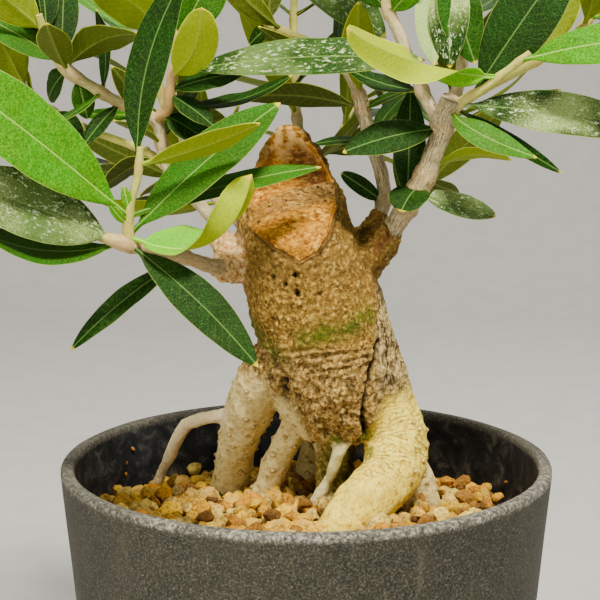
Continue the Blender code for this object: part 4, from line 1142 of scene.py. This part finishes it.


# Soft spots of moss, and hollows darkened with painted shade: centre and reach
MOSS_SPOTS = (
    ((18.7, -6, 128), 2.6), ((18.5, -5.5, 133), 2.4), ((28, 0.4, 107.5), 3.5), ((8.6, -5.5, 131), 3.0),
    ((9.5, 8, 120), 8.0), ((8, 6, 110), 6.0), ((7, 3, 128), 4.0),
)
MOSS_LINES = (
    ((-18.5, 2, 170), (-16.5, -2, 166), (-13.5, -4.5, 161.5), (-9, -8, 158.5)),
    ((-1, -13.5, 164), (4, -13.5, 166.5), (10, -12.7, 167.3), (14.5, -11.3, 168.5), (19, -7.5, 171.5)),
)
SHADED_HOLLOWS = (
    ((-6.8, -7.2, 150.5), 1.5), ((-6.8, -6.2, 147.6), 1.7), ((-6.4, -4.2, 144.5), 1.6), ((-9.9, -11, 182.9),
                                                                                         0.8),
    ((-3.4, -13.4, 183.8), 0.8), ((-6.4, -12.6, 180.8), 0.7), ((-2.8, -13.5, 178.1),
                                                               0.9), ((3.9, -13, 178.1), 0.7),
)
# Outline of the bare wood on the sawn face, x and z
CUT_RIM = ((-18, 198), (-9.3, 191), (-2, 187.4), (3.3, 190), (6.9, 195), (9.3, 203), (8.9, 208.5),
           (6.8, 214),
           (3.7, 219), (-5, 228), (-15, 221), (-19.5, 206))

# The mouldy shelf across the sawn face: its height at the middle, and its rise to the right
SHELF_HEIGHT = 205.4
SHELF_SLOPE = 0.28

# The long crack between the trunk and the right root
CRACK = ((21.6, -7, 163), (20.7, -8.5, 160.4), (19.6, -9.4, 155.1), (17.8, -10.2, 148.6),
         (16.9, -9.6, 143.5),
         (16.7, -9.4, 140.4), (17.4, -6.9, 134.8), (17.6, -6.0, 131))


def near_line(point, line):
    """Distance from a point to a line of points, and how far along the line that is."""
    best = 1e9
    place = 0.0
    done = 0.0
    for start, end in zip(line, line[1:]):
        span = end - start
        share = min(1.0, max(0.0, (point - start).dot(span) / span.length_squared))
        gap = (point - start - span * share).length
        if gap < best:
            best = gap
            place = done + span.length * share
        done += span.length
    return best, place


LINES = {name: [Vector(p[:3]) for p in path] for name, path in LIMBS.items()}
LINES["crack"] = [Vector(p) for p in CRACK]
LINES["pink"] = [Vector(p[:3]) for p in ROOTLETS[0]]
LINES["sage"] = [Vector(p[:3]) for p in ROOTLETS[1]]
MOSSY = [[Vector(p) for p in path] for path in MOSS_LINES]
CUT_OUTLINE = [Vector((x, 0, z)) for x, z in (*CUT_RIM, CUT_RIM[0])]
SAW_SHEET = [Vector((0, y, z)) for y, z in SAW_LINE]
PALE_ROOTS = ("left_root", "front_left_root", "back_root", "back_right_root", "right_low_root",
              "right_back_root")


def cut_place(point):
    """How far a point lies inside the bare wood's outline, and its height over the mouldy shelf."""
    flat = Vector((point.x, 0, point.z))
    gap, _ = near_line(flat, CUT_OUTLINE)
    within = False
    for start, end in zip(CUT_OUTLINE, CUT_OUTLINE[1:]):
        if (start.z > flat.z) != (end.z > flat.z):
            crossing = start.x + (end.x - start.x) * (flat.z - start.z) / (end.z - start.z)
            within ^= flat.x < crossing
    return gap if within else -gap, point.z - SHELF_HEIGHT - SHELF_SLOPE * point.x


def near_spots(point, spots):
    """Share of the nearest of some soft spots, 1 at a spot's centre."""
    return max(math.exp(-((point - Vector(at)).length / reach) ** 4) for at, reach in spots)


def wart(point, cell, chance, radius):
    """Height share of a round wart, from seeded cells of which only some hold one."""
    reach, centres = noise.voronoi(point / cell)
    lucky = noise.cell(centres[0] * 7.3) % 1.0
    if lucky > chance:
        return 0.0
    return math.exp(-(reach[0] * cell / radius) ** 2)


def cut_form(point):
    """How far the sawn face lifts at a point: a bulging lower part, a shelf and a hollow above it."""
    inside, above = cut_place(point)
    upper = smoothstep(1.6, 3.0, above)
    middle = max(0.0, 1 - ((point.x + 4) / 14) ** 2)
    steep = smoothstep(0.4, 2.4, inside) * smoothstep(225, 218, point.z)
    chips = noise.fractal(Vector((point.x * 0.6, point.y, point.z * 1.2)) / 3.2, 0.8, 2.1, 4)
    torn = smoothstep(219, 223, point.z) * noise.noise(point / 1.6)
    lift = (1 - upper) * 2.4 * middle * smoothstep(187, 193, point.z) - upper * 3.4 * steep
    lift += 0.5 * math.exp(-((above - 2.2) / 0.7) ** 2) - 0.7 * math.exp(-((above + 0.5) / 1.6) ** 2)
    shelf = smoothstep(-4.6, -2.0, above) * smoothstep(2.2, 1.4, above)
    # Where the steep wall of the hollow gets painted shade
    wall = upper * steep * smoothstep(-8, 0, point.x + 0.5 * (point.z - 214))
    return lift + 0.45 * chips + 1.3 * torn, inside, shelf, wall


def bark_looks(point, normal):
    """How far the surface lifts at a point, in millimetres, and the masks of its looks."""
    z = point.z
    cut = rim = groove = 0.0
    sawn = (0.0, 0.0, 0.0)
    if z > 184:
        cut_gap, _ = near_line(Vector((0, point.y, z)), SAW_SHEET)
        cut_lift, inside, shelf, wall = cut_form(point)
        cut = smoothstep(1.3, 0.8, cut_gap) * smoothstep(0.20, 0.45, -normal.y * 0.8 + normal.z * 0.6)
        cut *= smoothstep(-0.35, 0.35, inside)
        rim = smoothstep(2.6, 1.4, cut_gap) * (1 - cut) * smoothstep(-3.5, -1.5, inside)
        groove = smoothstep(2.0, 1.0, cut_gap) * math.exp(-((inside + 0.35) / 0.5) ** 2)
        sawn = (min(1.0, max(0.0, (inside + 4) / 12)), shelf, wall)
    root_gap, root_place = near_line(point, LINES["right_root"])
    beside = smoothstep(15, 19, point.x + (130 - z) * 0.45)
    right = smoothstep(13.5, 10.5, root_gap) * smoothstep(152, 141, z) * beside
    right = max(right, smoothstep(11, 9, root_gap) * (z < 126))
    pale = 0.0
    for name in PALE_ROOTS:
        gap, _ = near_line(point, LINES[name])
        pale = max(pale, smoothstep(11, 8.5, gap) * smoothstep(150, 140, z + abs(point.x) * -0.25))
    pink = smoothstep(4.6, 3.8, near_line(point, LINES["pink"])[0]) * smoothstep(-22.5, -25, point.x)
    sage = smoothstep(3.4, 2.8, near_line(point, LINES["sage"])[0]) * smoothstep(132, 129, z)
    right *= 1 - sage
    pale = max(pale * (1 - right), pink, sage)
    low = smoothstep(163.5, 158, z + 1.5 * noise.noise(point / 6))
    strip = smoothstep(20.0, 22.0, point.x + noise.noise(point / 4)) * smoothstep(143, 152,
                                                                                  z) * smoothstep(181, 176,
                                                                                                  z)
    moss = near_spots(point, MOSS_SPOTS)
    moss_gap = min(near_line(point, line)[0] for line in MOSSY)
    moss = max(moss, math.exp(-((moss_gap + 1.2 * noise.noise(point / 3)) / 3.2) ** 2))
    moss *= 1 - max(pink, sage)
    crack_gap, _ = near_line(point, LINES["crack"])
    crack = smoothstep(1.1 + 0.5 * noise.noise(point / 2.5), 0.35, crack_gap)
    hollow = near_spots(point, SHADED_HOLLOWS)
    left = smoothstep(-17.0, -19.5, point.x) * smoothstep(177, 181, z) * smoothstep(196, 192, z)
    turned_bark = smoothstep(17.5, 20, point.x) * smoothstep(176, 182, z)
    rough = noise.fractal(point / 2.6, 0.9, 2.1, 3)
    ribs = noise.noise(Vector((point.x * 1.5, point.y * 1.5, z * 0.3)) / 2.2)
    furrow = noise.noise(Vector((point.x * 0.9 + z * 0.45, point.y, z * 0.35 - point.x * 0.4)) / 2.2)
    smooth = max(right, pale)
    edge_on = smoothstep(27, 32, point.x)
    pimple = wart(point, 2.3, 0.62, 0.62) * (1 - smooth)
    big = wart(point + Vector((40, 0, 0)), 3.2, 0.75, 0.85) * max(pale,
                                                                  right * edge_on) * (1 - max(pink,
                                                                                              sage) * 0.7)
    lift = (1 - smooth) * 0.38 * rough + 0.6 * pimple + low * (1 - smooth) * (0.5 * rough + 0.6 * furrow)
    lift += smooth * (0.10 * rough + 0.12 * ribs) + big
    knee = right * smoothstep(116, 126, z) * smoothstep(148, 140, z)
    lift += 0.10 * knee * math.sin(root_place * 2.3 + 6.0 * noise.noise(point / 5))
    rings = smoothstep(163, 161, z) * smoothstep(154, 157, z) * (1 - strip)
    lift += 0.45 * rings * math.sin((z - 0.12 * point.x) * 2.6 + 1.5 * noise.noise(point / 6))
    lift += strip * 0.6 * ribs + 0.5 * turned_bark * furrow + 0.45 * left * rough
    lift -= 1.9 * crack + 2.2 * hollow
    if cut:
        lift += (cut_lift - lift) * cut
    ragged = smoothstep(-2, 4, point.x)
    lift += rim * (0.35 + (0.3 + 0.6 * ragged) * noise.noise(point / 1.5)) - 0.5 * groove
    # Painted shade in the hollows of the relief and in the furrows of the rugged low bark
    painted_hollow_shade = smoothstep(-0.15, -0.7, rough) * 0.4 * (1 - 0.8 * smooth)
    painted_hollow_shade = max(painted_hollow_shade, smoothstep(-0.15, -0.5, furrow) * 0.6 * low * (1 - smooth))
    # A band of painted shade just under the sawn rim
    under = smoothstep(4.5, 1.5, abs(z - 185)) * smoothstep(0.0, 0.4, noise.noise(point / 2.4)) * 0.3
    dark = min(1.0, max(crack, hollow, painted_hollow_shade, under * (1 - left), 0.8 * groove))
    seam = turned_bark * smoothstep(0.10, 0.35, furrow)
    return (lift, (cut, moss * (1 - cut), right, dark * (1 - cut)), (pale, low, strip, left * (1 - cut)),
            (*sawn, seam * (1 - cut)), (pink, sage, knee, root_place / 100),
            (pimple * (1 - cut), big * (1 - cut), 0.0, 0.0))


def keep_largest(thing):
    """Only the largest connected surface stays."""
    form = bmesh.new()
    form.from_mesh(thing.data)
    form.verts.ensure_lookup_table()
    group = [-1] * len(form.verts)
    sizes = []
    for start in form.verts:
        if group[start.index] >= 0:
            continue
        number = len(sizes)
        group[start.index] = number
        front = [start]
        count = 0
        while front:
            vert = front.pop()
            count += 1
            for edge in vert.link_edges:
                other = edge.other_vert(vert)
                if group[other.index] < 0:
                    group[other.index] = number
                    front.append(other)
        sizes.append(count)
    best = sizes.index(max(sizes))
    bmesh.ops.delete(form, geom=[v for v in form.verts if group[v.index] != best], context="VERTS")
    form.to_mesh(thing.data)
    form.free()


def plain_object(name, points, faces, collection=None):
    """A closed helper mesh for the Booleans below."""
    mesh = bpy.data.meshes.new(name)
    mesh.from_pydata([Vector(p) * MM for p in points], [], faces)
    form = bmesh.new()
    form.from_mesh(mesh)
    bmesh.ops.recalc_face_normals(form, faces=form.faces)
    form.to_mesh(mesh)
    form.free()
    made = bpy.data.objects.new(name, mesh)
    (collection or bpy.context.scene.collection).objects.link(made)
    return made


def settle(thing):
    graph = bpy.context.evaluated_depsgraph_get()
    mesh = bpy.data.meshes.new_from_object(thing.evaluated_get(graph))
    thing.modifiers.clear()
    thing.data = mesh


def combine(thing, collection, operation, solver="EXACT"):
    """One Boolean with a collection, applied, then the collection is removed."""
    modifier = thing.modifiers.new(operation.lower(), "BOOLEAN")
    modifier.operation = operation
    modifier.operand_type = "COLLECTION"
    modifier.collection = collection
    modifier.solver = solver
    settle(thing)
    for part in list(collection.objects):
        bpy.data.objects.remove(part, do_unlink=True)
    bpy.data.collections.remove(collection)


def new_collection(name):
    made = bpy.data.collections.new(name)
    bpy.context.scene.collection.children.link(made)
    return made


def make_stump():
    """The stump and roots again on a fine even mesh, with bark relief and a rough sawn face."""
    stump = plain_object("stump_fine", *stump_stack())
    limbs = new_collection("fine_limbs")
    for name, path in LIMBS.items():
        rows = [tuple(row) for row in smooth_path(path + COLLAR_TIPS.get(name, ()), 2.5)]
        if name in ROOT_FEET:
            rows.append(rows[-1][:3] + (ROOT_FEET[name],))
            rows[-1] = (*(Vector(rows[-2][:3]) * 2 - Vector(rows[-3][:3])), rows[-2][3])
        plain_object(name, *tube(rows, 24), limbs)
    for path in ROOTLETS:
        plain_object("rootlet", *tube([tuple(row) for row in smooth_path(path, 1.5)], 12), limbs)
    combine(stump, limbs, "UNION")
    cutters = new_collection("fine_saw")
    plain_object("fine_saw_block", *saw_block(), cutters)
    combine(stump, cutters, "DIFFERENCE")
    remesh = stump.modifiers.new("even_mesh", "REMESH")
    remesh.mode = "VOXEL"
    remesh.voxel_size = BARK_VOXEL * MM
    smooth = stump.modifiers.new("melt", "SMOOTH")
    smooth.factor = 0.5
    smooth.iterations = 3
    settle(stump)
    keep_largest(stump)
    mesh = stump.data
    moved = []
    looks = []
    for vert in mesh.vertices:
        point = vert.co / MM
        lift, *masks = bark_looks(point, vert.normal)
        lift += bark_push(point) * (1 - masks[0][0])
        moved.append(vert.co + vert.normal * (lift * MM))
        looks.append(masks)
    mesh.vertices.foreach_set("co", np.array(moved, float).ravel())
    for number, name in enumerate(("marks", "more", "sawn", "tints", "bumps")):
        layer = mesh.attributes.new(name, "FLOAT_COLOR", "POINT")
        layer.data.foreach_set("color", np.array([masks[number] for masks in looks], float).ravel())
    mesh.materials.clear()
    mesh.materials.append(stump_bark())
    mesh.shade_smooth()
    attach(stump, "root")
    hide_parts("stump_with_roots")


def turned(profile, sides):
    """A closed body turned round Z from a profile of (radius, z). Both its ends lie on the axis."""
    points = [(0.0, 0.0, profile[0][1])]
    for radius, z in profile[1:-1]:
        for step in range(sides):
            turn = math.tau * step / sides
            points.append((radius * math.cos(turn), radius * math.sin(turn), z))
    points.append((0.0, 0.0, profile[-1][1]))
    faces = []
    last_ring = len(profile) - 3
    for step in range(sides):
        following = (step + 1) % sides
        faces.append((0, 1 + following, 1 + step))
        for ring in range(last_ring):
            low = 1 + ring * sides
            high = low + sides
            faces.append((low + step, low + following, high + following, high + step))
        top = 1 + last_ring * sides
        faces.append((top + step, top + following, len(points) - 1))
    return points, faces


def pot_profile():
    """Outline of the pot's wall: outside from the base up, over the round rim and down inside."""
    profile = [(0, 0), (40, 0), (pot_radius(0) - 2.6, 0), (pot_radius(0) - 1.2, 0.4),
               (pot_radius(1.2), 1.2),
               (pot_radius(2.5), 2.6)]
    profile += [(pot_radius(z), z) for z in range(8, 120, 6)]
    profile += [(pot_radius(121), 121), (pot_radius(123), 123), (pot_radius(124) - 0.15, 124),
                (POT_RADIUS - 0.6, 124.7), (POT_RADIUS - 1.3, 125), (POT_RADIUS - 2.9, 125),
                (POT_RADIUS - 3.6, 124.8), (POT_RADIUS - 4.1, 124.2), (pot_inside(123) - 0.1, 123)]
    profile += [(pot_inside(z), z) for z in range(120, 8, -6)]
    profile += [(pot_inside(8) - 0.6, 6.2), (pot_inside(8) - 3, 5), (40, 5), (0, 5)]
    return profile


def make_pot():
    """The pot again with a fine round wall, a soft worn rim and its drain holes."""
    points, faces = turned(pot_profile(), POT_SIDES)
    shaped = []
    for x, y, z in points:
        radius = math.hypot(x, y)
        if radius < 45:
            shaped.append((x, y, z))
            continue
        spot = Vector((x, y, z))
        swell = 0.16 * noise.noise(spot / 28) + 0.06 * noise.noise(spot / 6)
        shaped.append((x * (1 + swell / radius), y * (1 + swell / radius),
                       z + (swell * 0.5 if z > 120 else 0)))
    pot = plain_object("pot_fine", shaped, faces)
    cutters = new_collection("fine_drains")
    for hole in range(DRAIN_HOLES):
        turn = math.tau * (hole + 0.5) / DRAIN_HOLES
        x = DRAIN_RING * math.cos(turn)
        y = DRAIN_RING * math.sin(turn)
        plain_object("drain", *tube(((x, y, -5, DRAIN_RADIUS), (x, y, 10, DRAIN_RADIUS)), 24), cutters)
    combine(pot, cutters, "DIFFERENCE")
    pot.data.materials.clear()
    pot.data.materials.append(pot_rubber())
    pot.data.shade_smooth()
    pot.data.set_sharp_from_angle(angle=math.radians(40))
    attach(pot, "root")
    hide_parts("pot")


def ball(level):
    """Directions and faces of a round ball of triangles."""
    form = bmesh.new()
    bmesh.ops.create_icosphere(form, subdivisions=level, radius=1.0)
    points = [v.co.copy() for v in form.verts]
    faces = [tuple(v.index for v in f.verts) for f in form.faces]
    form.free()
    return points, faces


def add_stone(skin, form, centre, size, tone, draw):
    """A chipped stone: a ball cut flat by seeded planes, stretched and turned."""
    points, faces = form
    planes = [(Vector((draw.gauss(0, 1), draw.gauss(0, 1), draw.gauss(0, 1))).normalized(),
               draw.uniform(0.55, 0.9)) for _ in range(11)]
    turn = Matrix.Rotation(draw.uniform(0, math.tau), 3, Vector((draw.gauss(0, 1), draw.gauss(0, 1), 1)))
    stretch = Vector((draw.uniform(0.8, 1.15), draw.uniform(0.7, 1.0), draw.uniform(0.6, 0.85)))
    shift = Vector((draw.uniform(0, 99), 0, 0))
    made = []
    for way in points:
        reach = 1.0
        for facing, off in planes:
            lean = way.dot(facing)
            if lean > 0.05:
                reach = min(reach, off / lean)
        reach *= 1 + 0.10 * noise.noise(way * 2.4 + shift)
        made.append(centre + turn @ Vector(way[k] * reach * stretch[k] * size / 1.6 for k in range(3)))
    skin.add(made, faces, 0, [(0, 0, 0)] * len(made), [(tone, 0, 0, 1)] * len(made))


def root_clear(x, y, size):
    """True where a stone at (x, y) stands beside the roots and not in them."""
    for name in ROOT_FEET:
        end = LIMBS[name][-1]
        before = LIMBS[name][-2]
        for px, py, pz, radius in (end, before):
            if pz < 109 and math.hypot(x - px, y - py) < radius + size * 0.15:
                return False
    return all(math.hypot(x - path[-2][0], y - path[-2][1]) > 2.2 for path in ROOTLETS)


# Grains that stick to the pot's inner wall: turn in degrees, height and size
STUCK = ((146, 117, 1.5), (149, 113, 1.1), (150, 109.5, 1.4), (171, 108, 1.9), (20, 110, 1.3),
         (60, 111, 1.2))


def make_gravel():
    """A grit bed under some eight hundred single stones that stand for the packed gravel."""
    draw = random.Random(SEED + 2)
    coarse = ball(2)
    fine = ball(3)
    skin = Skin()
    row = STONE_STEP * math.sqrt(3) / 2
    reach = math.ceil(POT_RADIUS / row)
    for layer in range(2):
        for across in range(-reach - 4, reach + 5):
            for along in range(-reach, reach + 1):
                x = (across + along % 2 / 2) * STONE_STEP + draw.uniform(-1.5, 1.5)
                y = along * row + draw.uniform(-1.5, 1.5)
                size = min(8.0, max(2.6, draw.lognormvariate(1.55, 0.26)))
                tone = draw.random()
                if layer and draw.random() > 0.22:
                    continue
                lift = size * 0.12 + layer * 2.6 + draw.uniform(-0.6, 0.6)
                z = soil_height(x, y) + lift
                if math.hypot(x, y) > pot_inside(z) - size * 0.55 or not root_clear(x, y, size):
                    continue
                near = y < 12 and abs(x) < 66
                add_stone(skin, fine if near else coarse, Vector((x, y, z)), size, tone, draw)
    for turn, z, size in STUCK:
        wall = pot_inside(z) - size * 0.3
        spot = Vector((wall * math.cos(math.radians(turn)), wall * math.sin(math.radians(turn)), z))
        add_stone(skin, coarse, spot, size, draw.uniform(0.05, 0.25), draw)
    stones = skin.build("gravel_stones", [gravel_stone()], sharp=28)
    rings = [(0, POT_FLOOR + 0.4), (pot_inside(8) - 3.6, POT_FLOOR + 0.4), (pot_inside(9) - 0.4, 9)]
    rings += [(pot_inside(z) - 0.4, z) for z in (40, 75, 102)]
    top = 103
    rings += [(r, top) for r in (67.5, 64, 58, 50, 42, 34, 26, 18, 10, 0)]
    points, faces = turned(rings, 120)
    shaped = []
    for x, y, z in points:
        if z == top:
            z = soil_height(x, y) - 1.6 + 0.9 * noise.noise(Vector((x, y, 0)) / 2.5)
        shaped.append((x, y, z))
    bed = plain_object("gravel_bed", shaped, faces)
    bed.data.materials.append(bed_earth())
    bed.data.shade_smooth()
    for piece in (stones, bed):
        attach(piece, "root")
    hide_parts("soil")
    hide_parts("soil")


def make_stage():
    """A pale floor that turns up into a pale wall far behind the plant."""
    profile = [(-1.6, 0.0), (0.9, 0.0)]
    profile += [(0.9 + 0.6 * math.sin(math.radians(a)), 0.6 - 0.6 * math.cos(math.radians(a)))
                for a in range(6, 91, 6)]
    profile.append((1.5, 2.4))
    points = [(x, y, z) for y, z in profile for x in (-2.5, 2.5)]
    faces = [(2 * k, 2 * k + 1, 2 * k + 3, 2 * k + 2) for k in range(len(profile) - 1)]
    mesh = bpy.data.meshes.new("floor")
    mesh.from_pydata(points, [], faces)
    p = Paint("floor_paint")
    grain = p.millimetres().noise(0.05, 3)
    floor = bpy.data.objects.new("floor", mesh)
    tone = grain.ramp((0.3, (0.46, 0.46, 0.45)), (0.7, (0.50, 0.50, 0.49)))
    mesh.materials.append(p.finish(tone, 0.8, grain, 0.1, 0.2))
    mesh.shade_smooth()
    bpy.context.scene.collection.objects.link(floor)


def add_light(name, spot, size, power, colour):
    """A soft square light that looks at the plant's middle."""
    lamp = bpy.data.lights.new(name, "AREA")
    lamp.size = size
    lamp.energy = power
    lamp.color = colour
    made = bpy.data.objects.new(name, lamp)
    made.location = spot
    made.rotation_euler = (Vector((0, 0, 0.18)) - Vector(spot)).to_track_quat("-Z", "Y").to_euler()
    bpy.context.scene.collection.objects.link(made)


def make_lights():
    """The area lights and a weak even light from all round."""
    for row in LIGHTS:
        add_light(*row)
    world = bpy.data.worlds.new("studio")
    world.use_nodes = True
    background = world.node_tree.nodes["Background"]
    background.inputs["Color"].default_value = (0.90, 0.90, 0.88, 1)
    background.inputs["Strength"].default_value = WORLD_LIGHT
    bpy.context.scene.world = world


def make_camera():
    """The photo's view of the plant, from a little above its middle."""
    lens = bpy.data.cameras.new("camera")
    lens.lens = CAMERA_LENS
    lens.sensor_width = CAMERA_SENSOR
    lens.clip_start = 0.01
    made = bpy.data.objects.new("camera", lens)
    made.location = CAMERA_SPOT
    made.rotation_euler = (math.radians(CAMERA_TILT), 0, 0)
    bpy.context.scene.collection.objects.link(made)
    bpy.context.scene.camera = made


def main():
    make_camera()
    make_lights()
    make_stage()
    make_pot()
    make_gravel()
    make_stump()
    materials = (leaf_top(), leaf_under(), twig_bark())
    for name, blades in plant_layout().items():
        make_shoot(name, SHOOTS[name], blades, materials)
    bpy.context.view_layer.update()


main()
